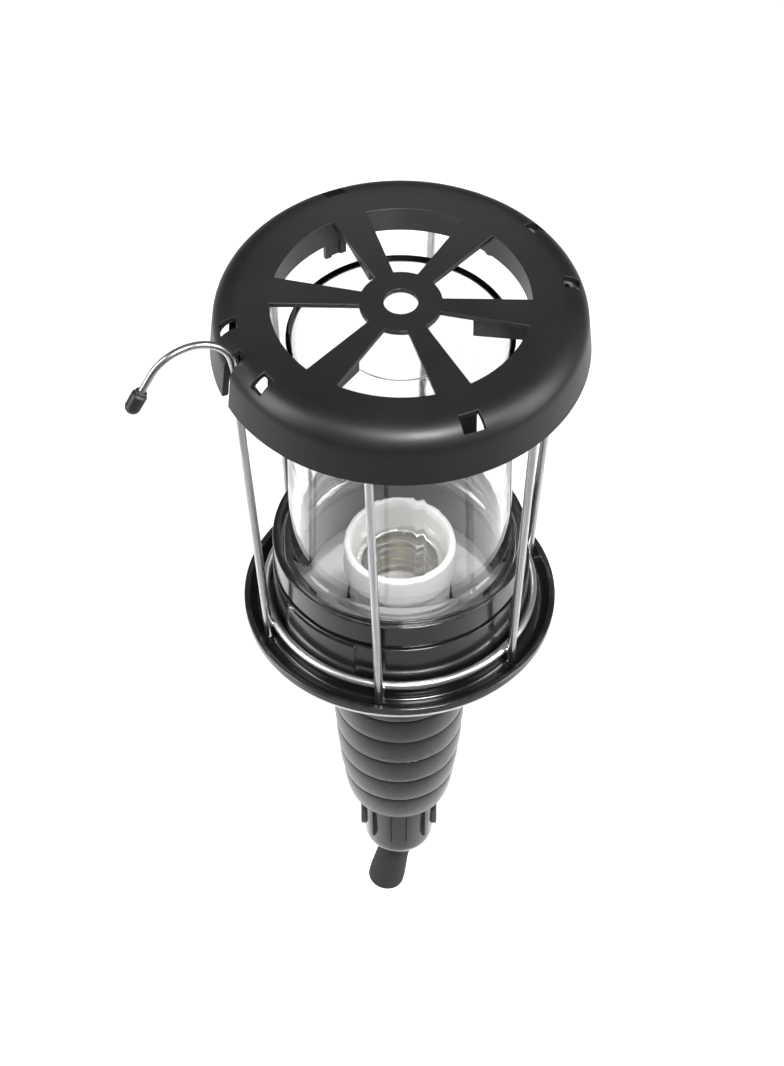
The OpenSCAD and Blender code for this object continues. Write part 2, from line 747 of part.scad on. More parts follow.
// Brass blocks let into the underside of the porcelain, each with a lead hole and a screw hole
module terminal_blocks() {
    lift = porcelain_foot_z - terminal_stand;
    color(BRASS) both_sides(terminal_x) translate([0, terminal_y, lift]) difference() {
        translate([-terminal_size[0] / 2, -terminal_size[1] / 2, 0]) cube(terminal_size);
        translate([0, 0, -over]) cylinder(h = lead_hole_depth + over, d = lead_hole_d);
        translate([0, terminal_size[1] / 2 + over, terminal_stand / 2]) rotate([90, 0, 0])
            cylinder(h = terminal_size[1] / 2 + over, d = clamp_hole_d);
    }
}

// The slotted clamp screws on the sides of the terminal blocks
module terminal_screws() {
    slot_depth = 0.6;
    color(STEEL) both_sides(terminal_x)
        translate([0, terminal_y + terminal_size[1] / 2 + seat_gap, porcelain_foot_z - terminal_stand / 2])
            rotate([-90, 0, 0]) difference() {
                cylinder(h = clamp_screw_len, d = clamp_screw_d);
                translate([-clamp_screw_d, -slot_depth / 2, clamp_screw_len - slot_depth])
                    cube([2 * clamp_screw_d, slot_depth, slot_depth + over]);
            }
}

// The handle core: a socket over the housing's well, a tapered tube and the threaded spigot
module handle_core() {
    steps = 16;
    head_room_r = bracket_screw_x + screw_head_d / 2 + free_gap;
    head_room_h = screw_head_h + 2 * seat_gap + free_gap;
    bore_z = core_end_z + core_floor_t;
    color(BLACK) difference() {
        union() {
            rotate_extrude() polygon(concat(
                [[0, core_top_z]],
                [for (i = [0 : steps])
                    let (z = core_top_z + (core_end_z - core_top_z) * i / steps)
                    [core_r(z), z]],
                [[0, core_end_z]]
            ));
            translate([0, 0, spigot_foot_z]) cylinder(h = spigot_len + bite, r = spigot_r);
        }
        translate([0, 0, socket_floor_z]) cylinder(h = core_top_z - socket_floor_z + over, r = socket_r);
        translate([0, 0, socket_floor_z - head_room_h]) cylinder(h = head_room_h + over, r = head_room_r);
        translate([0, 0, bore_z]) cylinder(h = socket_floor_z - bore_z + over, r = core_bore_r);
        translate([0, 0, spigot_foot_z - over])
            cylinder(h = bore_z - spigot_foot_z + 2 * over, r = spigot_bore_r);
        translate([0, 0, handle_screw_z]) rotate([90, 0, 0])
            cylinder(h = 3 * socket_r, d = handle_screw_d + free_gap, center = true);
    }
}

// The two short screws that fix the core to the housing's well, under the rubber
module handle_screws() {
    inner = well_r + free_gap;
    outer = core_r(handle_screw_z) - seat_gap;
    color(STEEL) for (side = [-1, 1]) translate([0, side * inner, handle_screw_z]) rotate([-side * 90, 0, 0])
        cylinder(h = outer - inner, d = handle_screw_d);
}

// The rubber grip: barrel-shaped bands with a fine groove between them
module grip_sleeve() {
    steps = 8;
    in_foot_z = core_end_z - seat_gap;
    lip_r = core_r(core_end_z) + seat_gap - grip_lip_w;
    color(GLOSS_BLACK) rotate_extrude() polygon(concat(
        [for (i = [0 : band_count - 1], k = [0 : steps])
            let (t = k / steps, z = grip_top_z - (i + t) * band_h)
            [grip_groove_r(z) + band_swell * sqrt(4 * t * (1 - t)), z]],
        [[grip_end_r - edge, grip_end_z - grip_lip], [lip_r, grip_end_z - grip_lip], [lip_r, in_foot_z]],
        [for (i = [0 : 2 * steps])
            let (z = in_foot_z + (grip_top_z - in_foot_z) * i / (2 * steps))
            [core_r(z) + seat_gap, z]]
    ));
}

module gland_seal() {
    color(BLACK) tube(spigot_bore_r - seat_gap, sleeve_bore_r, seal_foot_z, seal_foot_z + seal_h);
}

module slip_ring() {
    color(STEEL) tube(slip_r, sleeve_bore_r + 0.3, slip_z, slip_z + slip_t);
}

// The bend-relief sleeve: a flange inside the nut and a leaning, slightly flared tail below it
module bend_sleeve() {
    end_round = 2.4;
    end_r = sleeve_r + 0.5;
    waist_r = sleeve_r - 0.3;
    neck_len = sleeve_flange_z - nut_foot_z;
    color(GLOSS_BLACK) translate([0, 0, nut_foot_z]) difference() {
        union() {
            translate([0, 0, neck_len]) cylinder(h = sleeve_flange_t, r = slip_r);
            cylinder(h = neck_len + bite, r = sleeve_r);
            rotate([0, sleeve_lean, 0]) rotate_extrude() polygon(concat(
                [[0, 0], [sleeve_r, 0], [waist_r, -sleeve_len * 0.4], [end_r, -sleeve_len * 0.78]],
                arc([end_r - end_round, end_round - sleeve_len], end_round, 0, -90, 5),
                [[0, -sleeve_len]]
            ));
            sphere(r = sleeve_r + joint_bulge, $fn = 64);
        }
        cylinder(h = neck_len + sleeve_flange_t + over, r = sleeve_bore_r);
        rotate([0, sleeve_lean, 0]) translate([0, 0, -sleeve_len - over])
            cylinder(h = sleeve_len + over, r = sleeve_bore_r);
        sphere(r = sleeve_bore_r + joint_bulge, $fn = 64);
    }
}

// The ribbed gland nut that runs on the spigot's thread
module gland_nut() {
    color(GLOSS_BLACK) difference() {
        union() {
            rotate_extrude() polygon(concat(
                [[0, nut_top_z], [nut_r - edge, nut_top_z], [nut_r, nut_top_z - edge],
                    [nut_r - nut_waist, nut_foot_z + nut_waist_h]],
                arc([nut_foot_r - nut_round_r, nut_foot_z + nut_round_r], nut_round_r, 0, -90),
                [[0, nut_foot_z]]
            ));
            around(nut_rib_count, 180 / nut_rib_count) radial_block(0, nut_r - 2 * bite, nut_r + nut_rib_h,
                nut_rib_w, nut_foot_z + nut_rib_rise, nut_top_z - 0.8);
        }
        translate([0, 0, nut_floor_z]) cylinder(h = nut_top_z - nut_floor_z + over, r = spigot_r + fit_gap);
        translate([0, 0, nut_foot_z - over]) cylinder(h = nut_len, r = sleeve_r + free_gap);
    }
}

guard_cap();
cage_bar(1);  // cage_bar_1
cage_bar(2);  // cage_bar_2
cage_bar(3);  // cage_bar_3
cage_bar(4);  // cage_bar_4
cage_bar(5);  // cage_bar_5
cage_bar(6);  // cage_bar_6
cage_top_ring();
cage_base_ring();
hang_hook();
hook_tip();
glass_globe();
globe_gasket();
lamp_housing();
reflector_disc();
lampholder_body();
screw_shell();
centre_contact();
side_contact();
contact_rivets();
holder_bracket();
bracket_screws();
terminal_blocks();
terminal_screws();
handle_core();
handle_screws();
grip_sleeve();
gland_seal();
slip_ring();
bend_sleeve();
gland_nut();
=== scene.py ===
"""Caged inspection hand lamp: the looks of every piece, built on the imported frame.

Lengths are in metres, written as millimetres times MM. The origin is the centre of the lampholder's screw
shell at its mouth, and +Z runs out of the socket to the guard's cap.
"""

import logging
from dataclasses import dataclass, field
from enum import Enum
from typing import Sequence

import bmesh
import bpy
import numpy as np
from mathutils import Matrix, Vector


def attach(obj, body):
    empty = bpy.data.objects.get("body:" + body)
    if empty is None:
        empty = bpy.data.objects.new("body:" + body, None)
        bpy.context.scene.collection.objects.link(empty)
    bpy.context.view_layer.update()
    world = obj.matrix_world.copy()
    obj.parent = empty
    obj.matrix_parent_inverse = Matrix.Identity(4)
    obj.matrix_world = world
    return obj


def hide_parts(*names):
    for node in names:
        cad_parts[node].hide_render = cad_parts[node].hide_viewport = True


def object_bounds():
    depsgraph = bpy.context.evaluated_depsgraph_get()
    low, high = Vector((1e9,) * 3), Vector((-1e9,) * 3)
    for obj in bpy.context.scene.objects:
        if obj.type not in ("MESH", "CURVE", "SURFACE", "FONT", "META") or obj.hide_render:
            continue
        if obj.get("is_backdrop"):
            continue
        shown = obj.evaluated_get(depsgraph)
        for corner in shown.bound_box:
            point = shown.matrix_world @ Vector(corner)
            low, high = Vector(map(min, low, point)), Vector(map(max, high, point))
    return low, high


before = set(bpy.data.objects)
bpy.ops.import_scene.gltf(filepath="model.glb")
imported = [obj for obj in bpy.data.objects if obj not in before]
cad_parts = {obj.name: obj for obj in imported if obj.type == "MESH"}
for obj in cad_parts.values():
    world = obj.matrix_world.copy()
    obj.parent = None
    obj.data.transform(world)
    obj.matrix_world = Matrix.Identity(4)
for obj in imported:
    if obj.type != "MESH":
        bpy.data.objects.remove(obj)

MM = 0.001
TURN = 2.0 * np.pi
Array = np.ndarray
Socket = bpy.types.NodeSocket
log = logging.getLogger("hand_lamp")


# --------------------------------------------------------------------------------------------------------
# Outlines and surfaces
# --------------------------------------------------------------------------------------------------------


def smooth_step(x: Array, start: float, end: float) -> Array:
    """The cubic 3t^2 - 2t^3 of t = (x - start) / (end - start), held at 0 before start and at 1 after end."""
    t = np.clip((x - start) / (end - start), 0.0, 1.0)
    return t * t * (3.0 - 2.0 * t)


def unit(v: Sequence[float]) -> Array:
    """The vector of length 1 along v."""
    v = np.asarray(v, float)
    return v / np.linalg.norm(v)


def polar(radius: float, azimuth_deg: float, z: float) -> Array:
    """A point from its distance to the axis, its azimuth and its height."""
    a = np.radians(azimuth_deg)
    return np.array([radius * np.cos(a), radius * np.sin(a), z])


def rounded(corners: Sequence[tuple], closed: bool = True, steps: int = 5) -> tuple[Array, Array]:
    """An outline whose corners are arcs.

    Each arc is part of the circle of the corner's radius that touches both of its sides. Two corners that
    want more than the side between them share it in proportion. An arc's points are the two touching radii
    blended by sin((1 - t) a) and sin(t a) over sin(a), where a is the arc's angle. One more point on each
    side keeps the flat beside the arc flat when it is shaded.

    Args:
        corners: (radius from the axis, height, corner radius) in millimetres, in order round the outline.
        closed: whether the last corner joins the first.
        steps: spans in each arc.

    Returns:
        The points as (n, 2) in metres, and (n,) arris values: 1 on a rounded outer corner, 0 elsewhere.
    """
    table = np.array([(*c, 0.0)[:3] for c in corners], float) * MM
    p, r = table[:, :2], table[:, 2:]
    if not closed:
        r = r * np.r_[0.0, np.ones(len(r) - 2), 0.0][:, None]
    back, ahead = np.roll(p, 1, 0) - p, np.roll(p, -1, 0) - p
    back_len = np.linalg.norm(back, axis=1, keepdims=True)
    ahead_len = np.linalg.norm(ahead, axis=1, keepdims=True)
    back, ahead = back / back_len, ahead / ahead_len
    half = 0.5 * np.arccos(np.clip((back * ahead).sum(1, keepdims=True), -1.0, 1.0))
    half = np.clip(half, 1e-3, np.pi / 2 - 1e-4)
    wanted = r / np.tan(half) + 1e-12
    share_back = back_len * wanted / (wanted + np.roll(wanted, 1, 0))
    share_ahead = ahead_len * wanted / (wanted + np.roll(wanted, -1, 0))
    reach = np.minimum(wanted, np.minimum(share_back, share_ahead))
    free_back = back_len - reach - np.roll(reach, 1, 0)
    free_ahead = ahead_len - reach - np.roll(reach, -1, 0)
    middle = back + ahead
    middle = middle / np.maximum(np.linalg.norm(middle, axis=1, keepdims=True), 1e-9)
    centre = p + middle * reach * np.tan(half) / np.sin(half)
    start, end = p + back * reach - centre, p + ahead * reach - centre
    t = np.linspace(0.0, 1.0, steps + 1)[None, :, None]
    sweep = (np.pi - 2.0 * half)[:, :, None]
    arc = (np.sin((1 - t) * sweep) * start[:, None] + np.sin(t * sweep) * end[:, None]) / np.sin(sweep)
    points = np.concatenate(
        [(p + back * (reach + np.minimum(0.18 * reach, 0.45 * free_back)))[:, None], centre[:, None] + arc,
         (p + ahead * (reach + np.minimum(0.18 * reach, 0.45 * free_ahead)))[:, None]], 1
    )
    area = 0.5 * np.sum(p[:, 0] * np.roll(p[:, 1], -1) - np.roll(p[:, 0], -1) * p[:, 1])
    turn = back[:, 1] * ahead[:, 0] - back[:, 0] * ahead[:, 1]
    outer = ((turn * np.sign(area) > 0) & (r[:, 0] > 0)).astype(float)
    arris = np.repeat(outer[:, None], steps + 3, 1)
    arris[:, [0, -1]] = 0.0
    points, arris = points.reshape(-1, 2), arris.ravel()
    apart = np.linalg.norm(points - np.roll(points, 1, 0), axis=1) > 1e-6
    if not closed:
        apart[0] = True
    return points[apart], arris[apart]


def turned(outline: Array, angles: Array) -> Array:
    """A surface of revolution: the point of the outline at (r, z), turned by a, is (r cos a, r sin a, z).

    Args:
        outline: (rows, 2) radii and heights.
        angles: (columns,) azimuths in radians.

    Returns:
        The grid (rows, columns, 3).
    """
    r, z = outline[:, :1], outline[:, 1:]
    return np.stack([r * np.cos(angles), r * np.sin(angles), np.broadcast_to(z, (len(r), len(angles)))], -1)


def full_turn(count: int) -> Array:
    """Azimuths of evenly spaced columns round the axis, in radians."""
    return np.arange(count) * TURN / count


def push_out(grid: Array, amount: Array) -> Array:
    """The grid with each point moved away from the axis by its amount."""
    radius = np.hypot(grid[..., 0], grid[..., 1])
    factor = (radius + amount) / np.maximum(radius, 1e-9)
    return np.stack([grid[..., 0] * factor, grid[..., 1] * factor, grid[..., 2]], -1)


def swept(path: Array, radius: Array, side: Array, columns: int = 20) -> Array:
    """A round wire along a flat path: point = path + radius (cos a side + sin a (tangent x side)).

    Args:
        path: (rows, 3) centre line, in a plane that side stands on.
        radius: (rows,) wire radius along it.
        side: unit vector square to the path's plane.
        columns: points round the wire.

    Returns:
        The grid (rows, columns, 3).
    """
    tangent = np.gradient(path, axis=0)
    tangent /= np.linalg.norm(tangent, axis=1, keepdims=True)
    up = np.cross(tangent, side)
    a = full_turn(columns)[None, :, None]
    return path[:, None] + radius[:, None, None] * (np.cos(a) * side + np.sin(a) * up[:, None])


def with_round_ends(path: Array, wire_r: float, end_r: float, steps: int = 5) -> tuple[Array, Array]:
    """A path with its two ends closed by quarter rounds: radius = wire - end (1 - sqrt(1 - t^2)) over end_r.

    Args:
        path: (rows, 3) centre line.
        wire_r: the wire's radius.
        end_r: radius of the rounding at the ends.
        steps: spans in each rounding.

    Returns:
        The longer path, and the radius at each of its points, which is 0 at both ends.
    """
    t = np.linspace(1.0, 0.0, steps + 1)
    first, last = unit(path[1] - path[0]), unit(path[-2] - path[-1])
    shrink = wire_r - end_r * (1.0 - np.sqrt(np.clip(1.0 - t * t, 0.0, 1.0)))
    head = path[0] + first * end_r * (1.0 - t)[:, None]
    tail = (path[-1] + last * end_r * (1.0 - t)[:, None])[::-1]
    longer = np.concatenate([path[:1], head, path[1:-1], tail, path[-1:]])
    longer[0] -= first * 1e-7
    longer[-1] -= last * 1e-7
    radius = np.concatenate([[0.0], shrink, np.full(len(path) - 2, wire_r), shrink[::-1], [0.0]])
    return longer, radius


def ellipsoid(centre: Array, axes: Array, rows: int = 9, columns: int = 16) -> Array:
    """A bead: centre + cos b cos a X + cos b sin a Y + sin b Z, with X, Y, Z the rows of axes."""
    b = np.linspace(-np.pi / 2, np.pi / 2, rows)[:, None, None]
    a = full_turn(columns)[None, :, None]
    return centre + np.cos(b) * np.cos(a) * axes[0] + np.cos(b) * np.sin(a) * axes[1] + np.sin(b) * axes[2]


def helix_wave(grid: Array, pitch: float) -> Array:
    """A screw thread's wave, 0 at the root and 1 at the crest: (1 + cos(2 pi z / pitch - azimuth)) / 2."""
    azimuth = np.arctan2(grid[..., 1], grid[..., 0])
    return 0.5 + 0.5 * np.cos(TURN * grid[..., 2] / pitch - azimuth)


# --------------------------------------------------------------------------------------------------------
# Grids made into pieces
# --------------------------------------------------------------------------------------------------------


@dataclass
class Patch:
    """Faces ready for a mesh: points, faces, and the UV of each face corner.

    Attributes:
        points: (n, 3) places.
        faces: one index list for each face.
        uvs: (corners, 2) in face order.
        arris: (n,) 1 on rounded outer corners.
    """

    points: Array
    faces: list
    uvs: Array
    arris: Array

    @classmethod
    def grid(cls, points: Array, wrap_rows: bool = False, arris: Array | None = None) -> "Patch":
        """Joins a grid's neighbouring points into four-sided faces, closed round its columns.

        Args:
            points: (rows, columns, 3).
            wrap_rows: whether the last row joins the first.
            arris: (rows,) arris values.

        Returns:
            The patch. Its UV runs once round the columns and, along the rows, in centimetres of length.
        """
        rows, columns = points.shape[:2]
        spans = rows if wrap_rows else rows - 1
        i, j = (k.ravel()[:, None] for k in np.meshgrid(np.arange(spans), np.arange(columns), indexing="ij"))
        i = i + np.array([0, 0, 1, 1])
        j = j + np.array([0, 1, 1, 0])
        faces = (i % rows) * columns + j % columns
        step = np.linalg.norm(np.diff(points, axis=0).mean(1), axis=1)
        along = np.r_[0.0, np.cumsum(step), np.cumsum(step)[-1:] + step[-1:]]
        uvs = np.stack([j / columns, along[i] / 0.01], -1).reshape(-1, 2)
        marks = np.zeros((rows, columns)) if arris is None else np.repeat(arris[:, None], columns, 1)
        return cls(points.reshape(-1, 3), faces.tolist(), uvs, marks.ravel())

    @classmethod
    def pierced(cls, outer: Array, inner: Array, keep: Array) -> "Patch":
        """A shell between two grids, with the cells that aren't kept left open right through.

        Args:
            outer: (rows, columns, 3) outer sheet, closed round its columns.
            inner: the same for the inner sheet.
            keep: (rows - 1, columns) true where the shell is solid.

        Returns:
            The patch: both sheets' kept cells, and a wall wherever a kept cell meets an open one or an end.
        """
        rows, columns = outer.shape[:2]
        index = np.arange(rows * columns).reshape(rows, columns)
        right = np.roll(index, -1, 1)
        top = np.stack([index[:-1], right[:-1], right[1:], index[1:]], -1)[keep]
        shift = rows * columns
        padded = np.pad(keep, ((1, 1), (0, 0)))
        across = padded[1:] != padded[:-1]
        beside = keep != np.roll(keep, 1, 1)
        ends = np.stack([index, right, right + shift, index + shift], -1)[across]
        sides = np.stack([index[:-1], index[1:], index[1:] + shift, index[:-1] + shift], -1)[beside]
        faces = np.concatenate([top, top[:, ::-1] + shift, ends, sides])
        points = np.concatenate([outer.reshape(-1, 3), inner.reshape(-1, 3)])
        uvs = points[faces][..., :2].reshape(-1, 2) / 0.01
        return cls(points, faces.tolist(), uvs, np.zeros(len(points)))

    @classmethod
    def rib(cls, outline: Sequence[tuple], width: float, azimuth_deg: float, shift: float = 0.0) -> "Patch":
        """A flat rib that stands in a radial plane.

        Args:
            outline: (radius, height) corners in millimetres.
            width: thickness across the plane, in metres.
            azimuth_deg: direction of the plane.
            shift: sideways distance of the rib from that plane, in metres.

        Returns:
            The patch: the outline at both faces, joined by its sides.
        """
        flat = np.array(outline, float) * MM
        a, n = np.radians(azimuth_deg), len(flat)
        out, side = np.array([np.cos(a), np.sin(a), 0.0]), np.array([-np.sin(a), np.cos(a), 0.0])
        base = flat[:, :1] * out + flat[:, 1:] * np.array([0.0, 0.0, 1.0]) + shift * side
        points = np.concatenate([base - side * width / 2, base + side * width / 2])
        ring = np.arange(n)
        sides = np.stack([ring, np.roll(ring, -1), np.roll(ring, -1) + n, ring + n], -1).tolist()
        faces = [ring[::-1].tolist(), (ring + n).tolist()] + sides
        corners = np.concatenate([np.array(f) for f in faces])
        return cls(points, faces, points[corners][:, ::2] / 0.01, np.zeros(2 * n))


class Piece:
    """One named object of the lamp: its mesh, its body, the frame node it stands for and its finish."""

    def __init__(self, name: str, patches: Sequence[Patch]) -> None:
        """Makes the object from its patches, merges doubles, closes poles and turns the faces outwards.

        Args:
            name: the piece's name, in letters, digits and underscores.
            patches: the surfaces that make it up.
        """
        starts = np.cumsum([0] + [len(p.points) for p in patches])
        faces = [[int(i) + int(s) for i in f] for p, s in zip(patches, starts) for f in p.faces]
        mesh = bpy.data.meshes.new(name)
        mesh.from_pydata(np.concatenate([p.points for p in patches]).tolist(), [], faces)
        run = mesh.uv_layers.new(name="run")
        run.data.foreach_set("uv", np.concatenate([p.uvs for p in patches]).ravel())
        marks = mesh.attributes.new("arris", "FLOAT", "POINT")
        marks.data.foreach_set("value", np.concatenate([p.arris for p in patches]).astype(np.float32))
        work = bmesh.new()
        work.from_mesh(mesh)
        bmesh.ops.remove_doubles(work, verts=work.verts, dist=2e-6)
        bmesh.ops.dissolve_degenerate(work, edges=work.edges, dist=1e-7)
        bmesh.ops.recalc_face_normals(work, faces=work.faces)
        work.to_mesh(mesh)
        work.free()
        mesh.polygons.foreach_set("use_smooth", np.ones(len(mesh.polygons), bool))
        self.object = bpy.data.objects.new(name, mesh)
        bpy.context.scene.collection.objects.link(self.object)

    def creased(self, degrees: float = 34.0) -> "Piece":
        """Keeps edges sharper than this angle crisp in the shading."""
        self.object.data.set_sharp_from_angle(angle=np.radians(degrees))
        return self

    def eased(self, width: float, segments: int = 3) -> "Piece":
        """Rounds every sharp edge by this width with a Bevel modifier."""
        bevel = self.object.modifiers.new("eased_edges", "BEVEL")
        bevel.width = width
        bevel.segments = segments
        bevel.limit_method = "ANGLE"
        bevel.angle_limit = np.radians(38.0)
        bevel.use_clamp_overlap = False
        bevel.harden_normals = True
        return self

    def settle(self, body: str, node: str, slot: str, finish: "Finish") -> "Piece":
        """Puts the piece on its body, in place of its frame node, and gives it its finish.

        Args:
            body: the frame body it moves with.
            node: the frame node it stands for.
            slot: the record's material slot. Not used.
            finish: what its surface is like.

        Returns:
            The piece.
        """
        self.object.data.materials.append(finish.material())
        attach(self.object, body)
        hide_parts(node)
        faces = len(self.object.data.polygons)
        log.info("%s stands for %s on %s, %d faces", self.object.name, node, body, faces)
        return self


# --------------------------------------------------------------------------------------------------------
# Shared surface effects
# --------------------------------------------------------------------------------------------------------


class Effect(Enum):
    """The node groups that several finishes share."""

    GRAIN = "mould_grain"
    HANDLING = "handling_marks"
    ARRIS = "arris_polish"
    DRAWN = "drawn_lines"


class Effects:
    """Makes each shared node group once."""

    @staticmethod
    def _new(kind: Effect, inputs: dict, outputs: Sequence[str]) -> tuple:
        """An empty group with its sockets.

        Args:
            kind: which effect.
            inputs: socket name to default value, where None is a vector.
            outputs: names of the value outputs.

        Returns:
            The group, its input node and its output node.
        """
        group = bpy.data.node_groups.new(kind.value, "ShaderNodeTree")
        for name, value in inputs.items():
            form = "NodeSocketVector" if value is None else "NodeSocketFloat"
            socket = group.interface.new_socket(name, in_out="INPUT", socket_type=form)
            if value is not None:
                socket.default_value = value
        for name in outputs:
            group.interface.new_socket(name, in_out="OUTPUT", socket_type="NodeSocketFloat")
        return group, group.nodes.new("NodeGroupInput"), group.nodes.new("NodeGroupOutput")

    @staticmethod
    def _noise(group: bpy.types.NodeTree, vector: Socket, scale: float | Socket, detail: float,
               rough: float = 0.5) -> Socket:
        """A noise texture in the group; returns its Factor output."""
        node = group.nodes.new("ShaderNodeTexNoise")
        node.inputs["Detail"].default_value = detail
        node.inputs["Roughness"].default_value = rough
        group.links.new(vector, node.inputs["Vector"])
        if isinstance(scale, (int, float)):
            node.inputs["Scale"].default_value = scale
        else:
            group.links.new(scale, node.inputs["Scale"])
        return node.outputs["Factor" if "Factor" in node.outputs else "Fac"]

    @staticmethod
    def value_range(group: bpy.types.NodeTree, value: Socket, low: float, high: float,
                    to_low: float = 0.0, to_high: float = 1.0) -> Socket:
        """A Map Range from low..high to to_low..to_high, clamped; returns its output."""
        node = group.nodes.new("ShaderNodeMapRange")
        node.inputs["From Min"].default_value = low
        node.inputs["From Max"].default_value = high
        node.inputs["To Min"].default_value = to_low
        node.inputs["To Max"].default_value = to_high
        group.links.new(value, node.inputs["Value"])
        return node.outputs["Result"]

    @staticmethod
    def math(group: bpy.types.NodeTree, operation: str, a: float | Socket, b: float | Socket) -> Socket:
        """One Math node on two values; returns its output."""
        node = group.nodes.new("ShaderNodeMath")
        node.operation = operation
        for socket, value in zip(node.inputs, (a, b)):
            if isinstance(value, (int, float)):
                socket.default_value = value
            else:
                group.links.new(value, socket)
        return node.outputs[0]

    @classmethod
    def seen(cls, tree: bpy.types.NodeTree) -> Socket:
        """1 for what is looked at directly or through glass, 0 for what only lights or is mirrored."""
        path = tree.nodes.new("ShaderNodeLightPath")
        return cls.math(tree, "MAXIMUM", path.outputs["Is Camera Ray"], path.outputs["Is Transmission Ray"])

    @classmethod
    def get(cls, kind: Effect) -> bpy.types.NodeTree:
        """The effect's group, made the first time it is asked for.

        Args:
            kind: which effect.

        Returns:
            The node group.
        """
        if kind.value in bpy.data.node_groups:
            return bpy.data.node_groups[kind.value]
        return getattr(cls, f"_{kind.name.lower()}")()

    @classmethod
    def _grain(cls) -> bpy.types.NodeTree:
        """Moulded texture: pits of spark erosion, as fine noise with a finer one on it."""
        group, inside, outside = cls._new(Effect.GRAIN, {"Vector": None, "Scale": 1500.0}, ["Height", "Mask"])
        vector, scale = inside.outputs["Vector"], inside.outputs["Scale"]
        coarse = cls._noise(group, vector, scale, 2.0, 0.6)
        finer = cls._noise(group, vector, cls.math(group, "MULTIPLY", scale, 2.7), 1.0)
        height = cls.math(group, "ADD", cls.math(group, "MULTIPLY", coarse, 0.7),
                           cls.math(group, "MULTIPLY", finer, 0.3))
        group.links.new(height, outside.inputs["Height"])
        group.links.new(cls.value_range(group, height, 0.38, 0.62), outside.inputs["Mask"])
        return group

    @classmethod
    def _handling(cls) -> bpy.types.NodeTree:
        """Broad patches where hands and dust have dulled or polished the surface, and a few fine rubs."""
        group, inside, outside = cls._new(
            Effect.HANDLING, {"Vector": None, "Scale": 40.0}, ["Patches", "Rubs"])
        vector, scale = inside.outputs["Vector"], inside.outputs["Scale"]
        broad = cls._noise(group, vector, scale, 4.0, 0.55)
        stretch = group.nodes.new("ShaderNodeVectorMath")
        stretch.operation = "MULTIPLY"
        stretch.inputs[1].default_value = (1.0, 1.0, 9.0)
        group.links.new(vector, stretch.inputs[0])
        rubs = cls._noise(group, stretch.outputs[0], cls.math(group, "MULTIPLY", scale, 5.0), 3.0, 0.7)
        group.links.new(cls.value_range(group, broad, 0.3, 0.7), outside.inputs["Patches"])
        group.links.new(cls.value_range(group, rubs, 0.58, 0.74), outside.inputs["Rubs"])
        return group

    @classmethod
    def _arris(cls) -> bpy.types.NodeTree:
        """Outer corners polished by use: the arris value, broken up by noise."""
        group, inside, outside = cls._new(
            Effect.ARRIS, {"Vector": None, "Arris": 0.0, "Scale": 160.0}, ["Mask"])
        broken = cls._noise(group, inside.outputs["Vector"], inside.outputs["Scale"], 3.0, 0.6)
        spots = cls.value_range(group, broken, 0.36, 0.66)
        worn = cls.math(group, "MULTIPLY", inside.outputs["Arris"], spots)
        group.links.new(worn, outside.inputs["Mask"])
        return group

    @classmethod
    def _drawn(cls) -> bpy.types.NodeTree:
        """Lines that a drawing die leaves along a wire: noise that runs long in one direction of the UV."""
        group, inside, outside = cls._new(Effect.DRAWN, {"Vector": None, "Lines": 46.0}, ["Height", "Mask"])
        stretch = group.nodes.new("ShaderNodeCombineXYZ")
        parts = group.nodes.new("ShaderNodeSeparateXYZ")
        group.links.new(inside.outputs["Vector"], parts.inputs[0])
        around = cls.math(group, "MULTIPLY", parts.outputs["X"], TURN)
        lines = inside.outputs["Lines"]
        for name, socket in (("COSINE", "X"), ("SINE", "Y")):
            wave = cls.math(group, name, around, 0.0)
            group.links.new(cls.math(group, "MULTIPLY", wave, lines), stretch.inputs[socket])
        group.links.new(cls.math(group, "MULTIPLY", parts.outputs["Y"], 1.4), stretch.inputs["Z"])
        height = cls._noise(group, stretch.outputs[0], 0.16, 3.0, 0.62)
        group.links.new(height, outside.inputs["Height"])
        group.links.new(cls.value_range(group, height, 0.36, 0.64), outside.inputs["Mask"])
        return group


# --------------------------------------------------------------------------------------------------------
# Finishes
# --------------------------------------------------------------------------------------------------------


